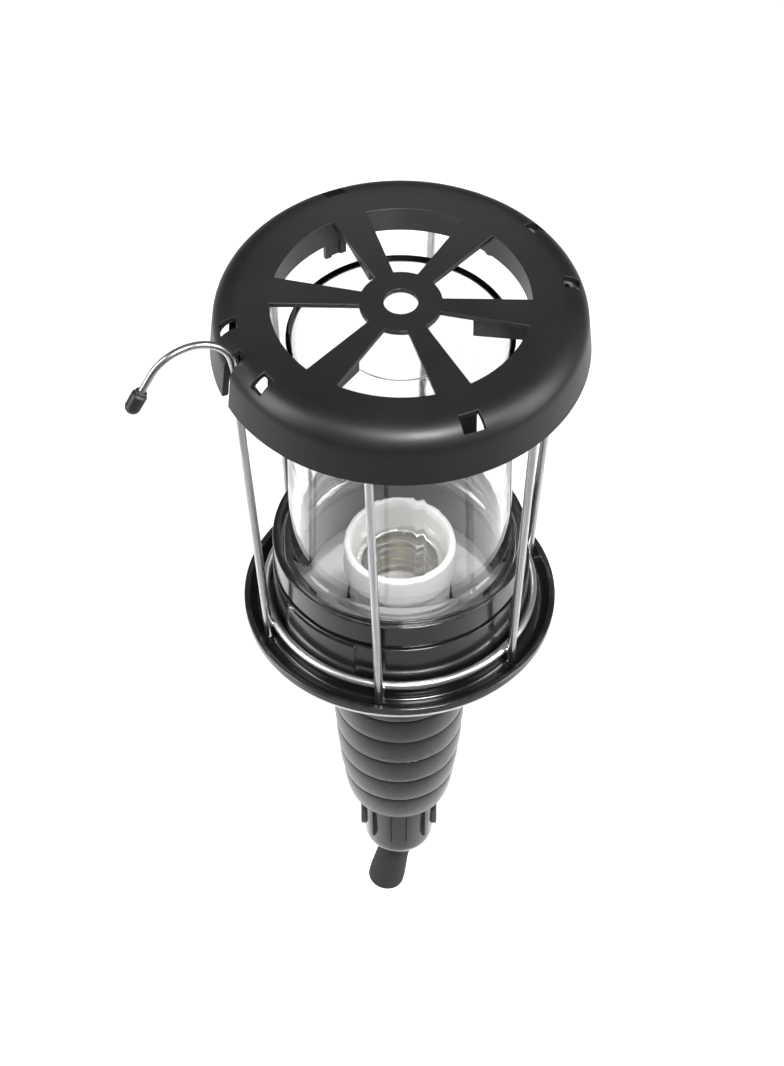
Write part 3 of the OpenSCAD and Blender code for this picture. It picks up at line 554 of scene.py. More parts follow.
@dataclass(frozen=True)
class Finish:
    """What every finish has.

    Attributes:
        name: the material's name.
        colour: linear base colour.
        roughness: mean roughness.
    """

    name: str
    colour: tuple = (0.02, 0.02, 0.021)
    roughness: float = 0.4

    def material(self) -> bpy.types.Material:
        """The material, made the first time it is asked for."""
        made = bpy.data.materials.get(self.name)
        if made is None:
            made = bpy.data.materials.new(self.name)
            made.use_nodes = True
            self.dress(made.node_tree, made.node_tree.nodes["Principled BSDF"])
        return made

    def dress(self, tree: bpy.types.NodeTree, shader: bpy.types.Node) -> None:
        """Sets the shader's sockets and links the effects; each finish adds its own.

        Args:
            tree: the material's node tree.
            shader: its Principled BSDF.
        """
        shader.inputs["Base Color"].default_value = (*self.colour, 1.0)
        shader.inputs["Roughness"].default_value = self.roughness

    @staticmethod
    def coordinates(tree: bpy.types.NodeTree, output: str = "Object") -> Socket:
        """The Object or UV output of a Texture Coordinate node."""
        return tree.nodes.new("ShaderNodeTexCoord").outputs[output]

    @staticmethod
    def effect(tree: bpy.types.NodeTree, kind: Effect, vector: Socket,
               **values: float | Socket) -> bpy.types.Node:
        """Places a shared effect in the material.

        Args:
            tree: the material's node tree.
            kind: which effect.
            vector: the coordinates it reads.
            values: its other inputs.

        Returns:
            The group node.
        """
        node = tree.nodes.new("ShaderNodeGroup")
        node.node_tree = Effects.get(kind)
        tree.links.new(vector, node.inputs["Vector"])
        for name, value in values.items():
            if isinstance(value, (int, float)):
                node.inputs[name].default_value = value
            else:
                tree.links.new(value, node.inputs[name])
        return node

    @staticmethod
    def spread(tree: bpy.types.NodeTree, mask: Socket, low: float, high: float) -> Socket:
        """A value that runs from low where the mask is 0 to high where it is 1."""
        node = tree.nodes.new("ShaderNodeMapRange")
        node.inputs["To Min"].default_value = low
        node.inputs["To Max"].default_value = high
        tree.links.new(mask, node.inputs["Value"])
        return node.outputs["Result"]

    @staticmethod
    def tint(tree: bpy.types.NodeTree, mask: Socket, a: tuple | Socket, b: tuple | Socket) -> Socket:
        """A colour that runs from a where the mask is 0 to b where it is 1."""
        node = tree.nodes.new("ShaderNodeMix")
        node.data_type = "RGBA"
        tree.links.new(mask, node.inputs["Factor"])
        for socket, value in ((node.inputs[6], a), (node.inputs[7], b)):
            if isinstance(value, tuple):
                socket.default_value = (*value, 1.0)
            else:
                tree.links.new(value, socket)
        return node.outputs[2]

    @staticmethod
    def relief(tree: bpy.types.NodeTree, shader: bpy.types.Node, height: Socket, depth: float,
               strength: float = 1.0) -> None:
        """Bump on the shader's normal.

        Args:
            tree: the material's node tree.
            shader: its Principled BSDF.
            height: socket of the height, 0 to 1.
            depth: what 1 stands for, in metres.
            strength: the bump's strength.
        """
        bump = tree.nodes.new("ShaderNodeBump")
        bump.inputs["Distance"].default_value = depth
        bump.inputs["Strength"].default_value = strength
        tree.links.new(height, bump.inputs["Height"])
        tree.links.new(bump.outputs["Normal"], shader.inputs["Normal"])


@dataclass(frozen=True)
class MouldedPlastic(Finish):
    """Injection-moulded plastic or rubber with eroded grain, handling marks and polished corners.

    Attributes:
        grain_scale: how fine the grain is, in cells a metre.
        grain_depth: how deep, in metres.
        worn: linear colour of the polished corners.
        swing: how far the roughness varies either way.
        specular: specular level.
        coat: clear, smoother skin over the whole surface.
    """

    grain_scale: float = 1500.0
    grain_depth: float = 0.03 * MM
    worn: tuple = (0.05, 0.05, 0.052)
    swing: float = 0.06
    specular: float = 0.5
    coat: float = 0.0

    def dress(self, tree: bpy.types.NodeTree, shader: bpy.types.Node) -> None:
        """Grain in the bump, patches and rubs in the roughness, polish on the corners."""
        super().dress(tree, shader)
        place = self.coordinates(tree)
        grain = self.effect(tree, Effect.GRAIN, place, Scale=self.grain_scale)
        marks = self.effect(tree, Effect.HANDLING, place, Scale=34.0)
        attribute = tree.nodes.new("ShaderNodeAttribute")
        attribute.attribute_name = "arris"
        polish = self.effect(tree, Effect.ARRIS, place, Arris=attribute.outputs["Fac"])
        dull = tuple(1.22 * c + 0.001 for c in self.colour)
        patched = self.tint(tree, marks.outputs["Patches"], self.colour, dull)
        colour = self.tint(tree, polish.outputs["Mask"], patched, self.worn)
        tree.links.new(colour, shader.inputs["Base Color"])
        rough = self.spread(tree, marks.outputs["Patches"],
                            self.roughness - self.swing, self.roughness + self.swing)
        rubbed = tree.nodes.new("ShaderNodeMath")
        rubbed.operation = "SUBTRACT"
        tree.links.new(rough, rubbed.inputs[0])
        tree.links.new(self.spread(tree, marks.outputs["Rubs"], 0.0, self.swing), rubbed.inputs[1])
        tree.links.new(rubbed.outputs[0], shader.inputs["Roughness"])
        shader.inputs["Specular IOR Level"].default_value = self.specular
        if self.coat:
            shader.inputs["Coat Weight"].default_value = self.coat
            shader.inputs["Coat Roughness"].default_value = 0.08
        self.relief(tree, shader, grain.outputs["Height"], self.grain_depth)


@dataclass(frozen=True)
class DrawnWire(Finish):
    """Plated steel wire with the drawing die's lines along it.

    Attributes:
        shade: linear colour in the lines.
        lines: how many lines there are round the wire.
        depth: depth of the lines, in metres.
    """

    shade: tuple = (0.42, 0.42, 0.43)
    lines: float = 46.0
    depth: float = 0.012 * MM

    def dress(self, tree: bpy.types.NodeTree, shader: bpy.types.Node) -> None:
        """Lines in the colour, the roughness and the bump."""
        super().dress(tree, shader)
        shader.inputs["Metallic"].default_value = 1.0
        drawn = self.effect(tree, Effect.DRAWN, self.coordinates(tree, "UV"), Lines=self.lines)
        marks = self.effect(tree, Effect.HANDLING, self.coordinates(tree), Scale=60.0)
        lined = self.tint(tree, drawn.outputs["Mask"], self.shade, self.colour)
        dulled = tuple(0.86 * c for c in self.colour)
        tree.links.new(self.tint(tree, marks.outputs["Rubs"], lined, dulled), shader.inputs["Base Color"])
        rough = self.spread(tree, drawn.outputs["Mask"], self.roughness + 0.12, self.roughness - 0.04)
        tree.links.new(rough, shader.inputs["Roughness"])
        self.relief(tree, shader, drawn.outputs["Height"], self.depth)


@dataclass(frozen=True)
class PressedMetal(Finish):
    """Stamped or turned metal: even colour, soft patches of tarnish and fine tool marks.

    Attributes:
        tarnish: linear colour of the duller patches.
        grain_scale: how fine the tool marks are.
    """

    tarnish: tuple = (0.4, 0.36, 0.28)
    grain_scale: float = 2600.0

    def dress(self, tree: bpy.types.NodeTree, shader: bpy.types.Node) -> None:
        """Tarnish in the colour and roughness, tool marks in the bump."""
        super().dress(tree, shader)
        shader.inputs["Metallic"].default_value = 1.0
        place = self.coordinates(tree)
        marks = self.effect(tree, Effect.HANDLING, place, Scale=110.0)
        grain = self.effect(tree, Effect.GRAIN, place, Scale=self.grain_scale)
        tree.links.new(self.tint(tree, marks.outputs["Patches"], self.colour, self.tarnish),
                       shader.inputs["Base Color"])
        rough = self.spread(tree, marks.outputs["Patches"], self.roughness - 0.05, self.roughness + 0.12)
        tree.links.new(rough, shader.inputs["Roughness"])
        self.relief(tree, shader, grain.outputs["Height"], 0.006 * MM)


@dataclass(frozen=True)
class GlazedPorcelain(Finish):
    """Fired porcelain: off-white body with faint specks under a glaze that waves a little."""

    speck: tuple = (0.3, 0.295, 0.28)

    def dress(self, tree: bpy.types.NodeTree, shader: bpy.types.Node) -> None:
        """Specks in the colour, a clear glaze over them, slow waves in the bump."""
        super().dress(tree, shader)
        place = self.coordinates(tree)
        grain = self.effect(tree, Effect.GRAIN, place, Scale=900.0)
        marks = self.effect(tree, Effect.HANDLING, place, Scale=120.0)
        cream = tuple(0.93 * c for c in self.colour)
        body = self.tint(tree, marks.outputs["Patches"], self.colour, cream)
        faint = self.spread(tree, grain.outputs["Mask"], 0.0, 0.16)
        tree.links.new(self.tint(tree, faint, body, self.speck), shader.inputs["Base Color"])
        rough = self.spread(tree, marks.outputs["Patches"], self.roughness - 0.04, self.roughness + 0.08)
        tree.links.new(rough, shader.inputs["Roughness"])
        shader.inputs["Coat Weight"].default_value = 0.6
        shader.inputs["Coat Roughness"].default_value = 0.06
        self.relief(tree, shader, marks.outputs["Patches"], 0.05 * MM)


@dataclass(frozen=True)
class PressedGlass(Finish):
    """Clear pressed glass: smooth, with the slow waves that pressing leaves.

    Attributes:
        wave_scale: how close the waves are, in cells a metre.
        wave_depth: how deep, in metres.
    """

    wave_scale: float = 42.0
    wave_depth: float = 0.035 * MM

    def dress(self, tree: bpy.types.NodeTree, shader: bpy.types.Node) -> None:
        """Full transmission, fine roughness patches, and slow waves in the bump."""
        super().dress(tree, shader)
        shader.inputs["Transmission Weight"].default_value = 1.0
        shader.inputs["IOR"].default_value = 1.5
        marks = self.effect(tree, Effect.HANDLING, self.coordinates(tree), Scale=self.wave_scale)
        rough = self.spread(tree, marks.outputs["Rubs"], self.roughness, self.roughness + 0.03)
        tree.links.new(rough, shader.inputs["Roughness"])
        self.relief(tree, shader, marks.outputs["Patches"], self.wave_depth)


@dataclass(frozen=True)
class PaleFloor(Finish):
    """A plain pale sheet with a hint of paper tooth, lit from within where the floor light doesn't reach.

    Attributes:
        pool_y: distance of the floor light's pool behind the origin, in metres.
        pool_r: first and last radius of the pool's soft edge.
        glow: brightness of the sheet outside the pool, seen directly or through the glass.
    """

    pool_y: float = 1.15
    pool_r: tuple = (1.1, 1.45)
    glow: float = 0.78

    def dress(self, tree: bpy.types.NodeTree, shader: bpy.types.Node) -> None:
        """An even colour with a very faint grain, and the glow outside the pool."""
        super().dress(tree, shader)
        away = tree.nodes.new("ShaderNodeVectorMath")
        away.operation = "DISTANCE"
        away.inputs[1].default_value = (0.0, self.pool_y, 0.0)
        level = tree.nodes.new("ShaderNodeVectorMath")
        level.operation = "MULTIPLY"
        level.inputs[1].default_value = (1.0, 1.0, 0.0)
        tree.links.new(self.coordinates(tree), level.inputs[0])
        tree.links.new(level.outputs[0], away.inputs[0])
        outside = Effects.value_range(tree, away.outputs["Value"], *self.pool_r, 0.0, self.glow)
        glow = Effects.math(tree, "MULTIPLY", outside, Effects.seen(tree))
        tree.links.new(glow, shader.inputs["Emission Color"])
        shader.inputs["Emission Strength"].default_value = 1.0
        grain = self.effect(tree, Effect.GRAIN, self.coordinates(tree), Scale=60.0)
        near = tuple(0.985 * c for c in self.colour)
        tree.links.new(self.tint(tree, grain.outputs["Mask"], self.colour, near), shader.inputs["Base Color"])


SATIN_CAP = MouldedPlastic("satin_black_cap", (0.006, 0.006, 0.0063), 0.43, grain_scale=1250.0,
                           grain_depth=0.02 * MM, worn=(0.03, 0.03, 0.031), swing=0.05)
GLOSS_HOUSING = MouldedPlastic("gloss_black_housing", (0.006, 0.006, 0.0065), 0.2, grain_scale=700.0,
                               grain_depth=0.004 * MM, worn=(0.03, 0.03, 0.031), swing=0.05, coat=0.35)
GRIP_RUBBER = MouldedPlastic("semi_gloss_grip", (0.009, 0.009, 0.0095), 0.31, grain_scale=1100.0,
                             grain_depth=0.012 * MM, worn=(0.035, 0.035, 0.036), swing=0.07)
NUT_PLASTIC = MouldedPlastic("gloss_black_nut", (0.007, 0.007, 0.0075), 0.22, grain_scale=900.0,
                             grain_depth=0.006 * MM, worn=(0.04, 0.04, 0.041), swing=0.05, coat=0.3)
SLEEVE_RUBBER = MouldedPlastic("sleeve_rubber", (0.011, 0.011, 0.0115), 0.36, grain_scale=1300.0,
                               grain_depth=0.012 * MM, worn=(0.03, 0.03, 0.031), swing=0.06)
TIP_VINYL = MouldedPlastic("tip_vinyl", (0.01, 0.01, 0.0105), 0.34, grain_scale=1800.0,
                           grain_depth=0.01 * MM, swing=0.06)
GASKET_RUBBER = MouldedPlastic("gasket_rubber", (0.02, 0.02, 0.02), 0.6, grain_scale=2200.0,
                               grain_depth=0.02 * MM, swing=0.08)
CORE_PLASTIC = MouldedPlastic("handle_core_plastic", (0.02, 0.02, 0.021), 0.5, grain_scale=1400.0,
                              grain_depth=0.02 * MM, swing=0.06)
GUARD_WIRE = DrawnWire("guard_wire_plated", (0.72, 0.72, 0.73), 0.22)
BASE_WIRE = DrawnWire("base_ring_plated", (0.86, 0.86, 0.87), 0.3, shade=(0.62, 0.62, 0.63), lines=60.0)
HOOK_WIRE = DrawnWire("hook_wire_plated", (0.7, 0.7, 0.71), 0.24)
SHELL_METAL = PressedMetal("screw_shell_nickelled", (0.78, 0.77, 0.75), 0.2, tarnish=(0.55, 0.53, 0.5))
BRASS = PressedMetal("contact_brass", (0.78, 0.58, 0.28), 0.3, tarnish=(0.5, 0.34, 0.16))
ZINC_STEEL = PressedMetal("zinc_steel", (0.62, 0.63, 0.65), 0.34, tarnish=(0.42, 0.43, 0.45))
PORCELAIN = GlazedPorcelain("glazed_porcelain", (0.43, 0.428, 0.42), 0.3)
FLOOR_COATING = PressedMetal("reflector_coating", (0.34, 0.34, 0.345), 0.45, tarnish=(0.27, 0.27, 0.275))
CLEAR_GLASS = PressedGlass("clear_pressed_glass", (0.955, 0.96, 0.96), 0.0)
STUDIO_FLOOR = PaleFloor("pale_floor", (0.9, 0.9, 0.9), 0.6)


# --------------------------------------------------------------------------------------------------------
# Sub-assemblies
# --------------------------------------------------------------------------------------------------------


@dataclass
class GuardCap:
    """The slotted cap: a pierced shell over a rim wall, with ribs, prongs, claws and rests under it.

    Attributes are in millimetres and degrees unless they say otherwise.
    """

    top_z: float = 130.0
    foot_z: float = 109.0
    skirt_r: float = 64.2
    shoulder_r: float = 63.2
    round_r: float = 9.0
    wall: float = 2.4
    spoke_t: float = 2.0
    opening_r: float = 43.9
    hub_r: float = 14.0
    hole_r: float = 5.8
    spoke_count: int = 6
    spoke_az: float = -6.5
    spoke_w_hub: float = 6.2
    spoke_w_rim: float = 12.6
    rim_depth: float = 10.2
    rib_depth: float = 12.5
    rib_len: float = 19.5
    window_in_r: float = 55.4
    window_out_r: float = 61.2
    small_windows: tuple = (190.2, 218.8, 10.2, 38.8)
    large_windows: tuple = (113.5, 293.5)
    small_w: float = 5.0
    large_w: float = 7.5
    hook_az: float = 204.5
    slot_w: float = 4.6
    slot_r: float = 57.4
    ring_r: float = 56.2
    ring_z: float = 116.0
    wire_r: float = 1.5
    edge: float = 0.32 * MM

    def _openings(self) -> list:
        """The windows, then the slot: azimuth, half angle, first and last radius, where None is the foot."""
        mid = 0.5 * (self.window_in_r + self.window_out_r)
        small = [(a, np.degrees(self.small_w / 2 / mid), self.window_in_r, self.window_out_r)
                 for a in self.small_windows]
        large = [(a, np.degrees(self.large_w / 2 / mid), self.window_in_r, self.window_out_r)
                 for a in self.large_windows]
        return small + large + [(self.hook_az, np.degrees(self.slot_w / 2 / 61.0), self.slot_r, None)]

    def _spoke_half(self, radius: Array) -> Array:
        """Half a spoke's angle at each radius, in degrees: arcsin of half its width over the radius."""
        width = np.interp(radius, [self.hub_r - 1, self.opening_r + 1], [self.spoke_w_hub, self.spoke_w_rim])
        return np.degrees(np.arcsin(width / 2 / np.maximum(radius, self.hub_r)))

    def _columns(self, outer_half: float) -> Array:
        """Azimuths of the columns at the skirt, with one on every spoke's, window's and slot's edge."""
        spokes = self.spoke_az + np.arange(self.spoke_count) * 360.0 / self.spoke_count
        edges = np.concatenate(
            [spokes - outer_half, spokes + outer_half]
            + [np.array([a - h, a + h]) for a, h, _, _ in self._openings()]
        )
        filler = np.arange(0.0, 360.0, 1.8)
        gap = np.abs((filler[:, None] - edges[None] + 180.0) % 360.0 - 180.0).min(1)
        return np.sort(np.r_[edges % 360.0, filler[gap > 0.75]])

    def _rows(self) -> tuple[Array, Array]:
        """Outlines of the outer and the inner sheet, from the hub's hole to the skirt's foot, in millimetres.

        Both are a flat, a quarter round about the same centre and a drafted skirt. In the round, the inner
        point lies straight under the outer one as far as it can, as a mould's pins leave the windows' walls.
        """
        centre_r, centre_z = self.shoulder_r - self.round_r, self.top_z - self.round_r
        inner_round = self.round_r - self.wall
        flat = np.array([self.hole_r, 7.4, 10.6, self.hub_r, 18.0, 24.0, 30.0, 36.0, 41.0, self.opening_r,
                         46.5, 50.0])
        marks = np.degrees(np.arcsin((np.array([self.window_in_r, self.slot_r, self.window_out_r]) - centre_r)
                                     / self.round_r))
        turn = np.radians(np.unique(np.r_[0.0, marks, 14.5, 30.0, 40.0, 62.0, 71.0, 80.0, 90.0]))
        out_r, out_z = centre_r + self.round_r * np.sin(turn), centre_z + self.round_r * np.cos(turn)
        under = np.arcsin(np.clip((out_r - centre_r) / inner_round, 0.0, 0.955))
        last = turn[out_r <= self.window_out_r + 1e-6][-1]
        held = np.interp(turn, [last, np.pi / 2], [np.arcsin(0.955), np.pi / 2])
        under = np.where(turn <= last + 1e-9, under, held)
        in_r, in_z = centre_r + inner_round * np.sin(under), centre_z + inner_round * np.cos(under)
        drop = np.linspace(0.0, 1.0, 6)[1:]
        skirt_r = self.shoulder_r + (self.skirt_r - self.shoulder_r) * drop
        skirt_z = centre_z + (self.foot_z - centre_z) * drop
        thick = np.where(flat < self.opening_r + 0.1, self.spoke_t, self.wall)
        outer = np.concatenate([np.stack([flat, np.full_like(flat, self.top_z)], -1),
                                np.stack([out_r, out_z], -1), np.stack([skirt_r, skirt_z], -1)])
        inner = np.concatenate([np.stack([flat, self.top_z - thick], -1),
                                np.stack([in_r, in_z], -1), np.stack([skirt_r - self.wall, skirt_z], -1)])
        return outer, inner

    def _shell(self) -> Patch:
        """The pierced shell.

        Columns keep their azimuth on the skirt. Nearer the hub each one turns so that the columns on a
        spoke's edges follow the spoke: its share of the sector goes from its angle there to its angle here.
        """
        outer, inner = self._rows()
        outer_half = float(self._spoke_half(np.array([self.shoulder_r - self.round_r]))[0])
        columns = self._columns(outer_half)
        sector = 360.0 / self.spoke_count
        offset = (columns - self.spoke_az + sector / 2) % sector - sector / 2
        middle = columns - offset
        here = np.minimum(self._spoke_half(outer[:, 0]), 0.46 * sector)[:, None]
        here = np.where(outer[:, :1] > self.shoulder_r - self.round_r, outer_half, here)
        share = np.abs(offset)[None]
        beyond = here + (share - outer_half) * (sector / 2 - here) / (sector / 2 - outer_half)
        turned_by = np.where(share <= outer_half + 1e-9, share * here / outer_half, beyond)
        azimuth = np.radians(middle[None] + np.sign(offset)[None] * turned_by)
        sheets = [np.stack([o[:, :1] * np.cos(azimuth), o[:, :1] * np.sin(azimuth),
                            np.broadcast_to(o[:, 1:], azimuth.shape)], -1) * MM for o in (outer, inner)]
        cell_az = columns + 0.5 * ((np.roll(columns, -1) - columns) % 360.0)
        cell_off = np.abs((cell_az - self.spoke_az + sector / 2) % sector - sector / 2)
        reach = 0.5 * (outer[1:, 0] + outer[:-1, 0])
        between = (reach > self.hub_r) & (reach < self.opening_r)
        keep = ~(between[:, None] & (cell_off > outer_half)[None])
        for azimuth_deg, half, first, last in self._openings():
            inside = np.abs((cell_az - azimuth_deg + 180.0) % 360.0 - 180.0) < half
            rows = (reach > first) & ((reach < last) if last else True)
            keep &= ~(rows[:, None] & inside[None])
        return Patch.pierced(*sheets, keep)

    def _rim_wall(self) -> Patch:
        """The wall that hangs round the openings."""
        low, high = self.top_z - self.rim_depth, self.top_z - 1.2
        near, far = self.opening_r + 0.02, self.opening_r + self.wall
        outline, _ = rounded([(near, high), (near, low, 0.3), (far, low, 0.3), (far, high)], steps=3)
        return Patch.grid(turned(outline, full_turn(192)), wrap_rows=True)

    def _ribs(self) -> list[Patch]:
        """The ribs under every second spoke."""
        inner, outer = self.opening_r - self.rib_len, self.opening_r + 0.9
        high, low = self.top_z - 1.0, self.top_z - self.rib_depth
        outline = [(inner, high), (inner, low), (outer, low), (outer, high)]
        return [Patch.rib(outline, self.wall * MM, self.spoke_az + 120 * k) for k in range(3)]

    def _prongs(self) -> list[Patch]:
        """Pairs of prongs that keep the cap centred over the glass, each pair joined by a web at the back."""
        low = self.top_z - self.rim_depth - 7
        high = low + 13
        front, back = self.opening_r + 0.1, self.opening_r + self.wall - 0.1
        outline = [(front, high), (front, low + 0.6), (front + 0.6, low), (back, low), (back, high)]
        web = [(back - 1.1, high), (back - 1.1, low), (back, low), (back, high)]
        prongs = [Patch.rib(outline, self.wall * MM, 120.0 * k, side * 2.8 * MM)
                  for k in range(3) for side in (-1, 1)]
        return prongs + [Patch.rib(web, 4.4 * MM, 120.0 * k) for k in range(3)]

    def _claws(self) -> list[Patch]:
        """Claws that catch under the top ring below each window."""
        face = self.ring_r - self.wire_r - 0.3
        lip = self.ring_z - self.wire_r - 0.05
        outline = [(face - 2.2, self.top_z - 1.4), (face - 2.2, lip - 1.6), (self.ring_r - 0.8, lip - 1.6),
                   (self.ring_r, lip - 0.8), (self.ring_r, lip), (face, lip), (face, self.top_z - 1.4)]
        return ([Patch.rib(outline, self.small_w * MM, a) for a in self.small_windows]
                + [Patch.rib(outline, self.large_w * MM, a) for a in self.large_windows])

    def _rests(self) -> list[Patch]:
        """Ribs in the channel that bear on the top ring."""
        foot = self.ring_z + self.wire_r + 0.05
        inner, outer = self.opening_r + 1.2, self.shoulder_r - self.wall - 2
        outline = [(inner, self.top_z - 1.4), (inner, foot), (outer, foot), (outer, self.top_z - 4.4),
                   (self.shoulder_r - self.round_r, self.top_z - 1.4)]
        return [Patch.rib(outline, 2.2 * MM, 49.5 + 60.0 * k) for k in range(6)]

    def build(self) -> None:
        """Builds the cap as one moulding."""
        patches = [self._shell(), self._rim_wall(), *self._ribs(), *self._prongs(), *self._claws(),
                   *self._rests()]
        cap = Piece("guard_cap_moulding", patches).eased(self.edge)
        cap.settle("guard", "guard_cap", "satin_black_plastic", SATIN_CAP)


@dataclass
class WireGuard:
    """Six bars welded outside two rings. Sizes are in millimetres and degrees."""

    wire_r: float = 1.5
    base_r: float = 50.0
    head_r: float = 59.0
    base_z: float = -12.7
    top_z: float = 116.0
    foot_z: float = -19.0
    bars: int = 6
    first_az: float = 22.0
    twist: float = -2.5
    ring_in: float = 2.8

    def bar_radius(self, z: float) -> float:
        """Distance of a bar's centre line from the axis at height z."""
        return self.base_r + (self.head_r - self.base_r) * (z - self.base_z) / (self.top_z - self.base_z)

    def _bead(self, azimuth: float, z: float, size: tuple) -> Patch:
        """A weld bead between a bar and a ring: a flat ellipsoid at the place where the two wires touch."""
        out, along = polar(1.0, azimuth, 0.0), np.array([0.0, 0.0, 1.0])
        axes = np.array([size[0] * out, size[1] * np.cross(along, out), size[2] * along]) * MM
        centre = polar((self.bar_radius(z) - self.ring_in / 2) * MM, azimuth, z * MM)
        return Patch.grid(ellipsoid(centre, axes))

    def _bar(self, index: int) -> None:
        """One bar with its beads."""
        azimuth = self.first_az + 60.0 * (index - 1)
        head_z = self.top_z + self.wire_r
        foot = polar(self.bar_radius(self.foot_z) * MM, azimuth, self.foot_z * MM)
        head = polar(self.bar_radius(head_z) * MM, azimuth + self.twist, head_z * MM)
        line = foot + (head - foot) * np.linspace(0.0, 1.0, 12)[:, None]
        path, radius = with_round_ends(line, self.wire_r * MM, 0.35 * MM)
        side = unit(np.cross(head - foot, polar(1.0, azimuth, 0.0)))
        turn_at = self.twist * (self.base_z - self.foot_z) / (head_z - self.foot_z)
        beads = [self._bead(azimuth + turn_at, self.base_z, (1.15, 2.1, 1.35)),
                 self._bead(azimuth + self.twist, self.top_z, (1.1, 1.9, 1.25))]
        patches = [Patch.grid(swept(path, radius, side, 24))] + beads
        bar = Piece(f"guard_bar_{index}", patches).creased(50.0)
        bar.settle("guard", f"cage_bar_{index}", "guard_wire", GUARD_WIRE)

    def _ring(self, name: str, node: str, radius: float, z: float, finish: Finish) -> None:
        """A ring of round wire, butt-welded at the back, where it swells a little."""
        section = full_turn(24)
        outline = np.stack([radius + self.wire_r * np.cos(section),
                            z + self.wire_r * np.sin(section)], -1) * MM
        grid = turned(outline, full_turn(240))
        patch = Patch.grid(np.swapaxes(grid, 0, 1).copy(), wrap_rows=True)
        bead = Patch.grid(ellipsoid(polar(radius * MM, 94.0, z * MM),
                                    np.array([[0.0, 1.62, 0.0], [1.1, 0.0, 0.0], [0.0, 0.0, 1.62]]) * MM))
        Piece(name, [patch, bead]).creased(50.0).settle("guard", node, "guard_wire", finish)

    def build(self) -> None:
        """Builds the bars and the two rings."""
        for index in range(1, self.bars + 1):
            self._bar(index)
        self._ring("guard_top_ring", "cage_top_ring", self.head_r - self.ring_in, self.top_z, GUARD_WIRE)
        self._ring("guard_base_ring", "cage_base_ring", self.base_r - self.ring_in, self.base_z, BASE_WIRE)


@dataclass
class FoldingHook:
    """The wire hook with its soft tip. Sizes are in millimetres and degrees, in the hook's own plane."""

    wire_r: float = 1.3
    azimuth: float = 204.5
    ring: tuple = (56.2, 116.0)
    eye_r: float = 2.96
    bow: tuple = (76.5, 124.7)
    bow_r: float = 15.5
    end_slope: float = 60.0
    end_len: float = 14.0
    tip_r: float = 2.8
    tip_len: float = 9.5

    def _stations(self) -> tuple[Array, Array, Array]:
        """The hook's centre line in its plane, and the place and direction of its free end.

        The shank is the line that touches the eye and the bow from opposite sides: its lean is
        arccos((eye + bow radius) / distance) less the slope of the line between their centres.
        """
        ring, bow = np.array(self.ring), np.array(self.bow)
        gap = bow - ring
        lean = np.arccos((self.eye_r + self.bow_r) / np.hypot(*gap)) - np.arctan2(gap[1], gap[0])
        slope = np.radians(self.end_slope)

        def arc(centre: Array, radius: float, start: float, end: float, count: int) -> Array:
            """Points of an arc from one angle to another."""
            a = np.linspace(start, end, count)[:, None]
            return centre + radius * np.hstack([np.cos(a), np.sin(a)])

        eye = arc(ring, self.eye_r, -lean - np.radians(300.0), -lean, 40)
        over = arc(bow, self.bow_r, np.pi - lean, np.pi / 2 - slope, 46)
        run = np.array([np.cos(slope), -np.sin(slope)])
        stop = over[-1] + self.end_len * run
        shank = eye[-1] + (over[0] - eye[-1]) * np.linspace(0.0, 1.0, 7)[1:-1, None]
        straight = over[-1] + (stop - over[-1]) * np.linspace(0.0, 1.0, 7)[1:, None]
        return np.concatenate([eye, shank, over, straight]), stop, run

    def _in_space(self, flat: Array) -> Array:
        """Points of the hook's plane, (radius, height), as places in the frame, in metres."""
        a = np.radians(self.azimuth)
        return np.stack([flat[..., 0] * np.cos(a), flat[..., 0] * np.sin(a), flat[..., 1]], -1) * MM

    def build(self) -> None:
        """Builds the wire and its tip."""
        line, stop, run = self._stations()
        side = polar(1.0, self.azimuth - 90.0, 0.0)
        path, radius = with_round_ends(self._in_space(line), self.wire_r * MM, 0.3 * MM)
        wire = Piece("folding_hook_wire", [Patch.grid(swept(path, radius, side, 22))]).creased(50.0)
        wire.settle("hook", "hang_hook", "hook_wire", HOOK_WIRE)
        bore = self.tip_len - 2.0
        tip, mark = rounded([
            (0.0, self.tip_len), (self.tip_r, self.tip_len, self.tip_r), (self.tip_r, 1.6, 0.5),
            (self.tip_r - 0.75, 0.9, 0.3), (self.tip_r - 0.55, 0.0, 0.35), (self.wire_r + 0.06, 0.0, 0.1),
            (self.wire_r + 0.06, bore, 0.0), (0.0, bore),
        ], closed=False, steps=8)
        grid = turned(tip, full_turn(36))
        axis = self._in_space(run) / MM
        base = self._in_space(stop - (bore - 0.05) * run)
        across = np.cross(axis, side)
        placed = base + grid[..., :1] * side + grid[..., 1:2] * across + grid[..., 2:] * axis
        Piece("hook_tip_cap", [Patch.grid(placed, arris=mark)]).creased(40.0).settle(
            "hook", "hook_tip", "tip_rubber", TIP_VINYL)


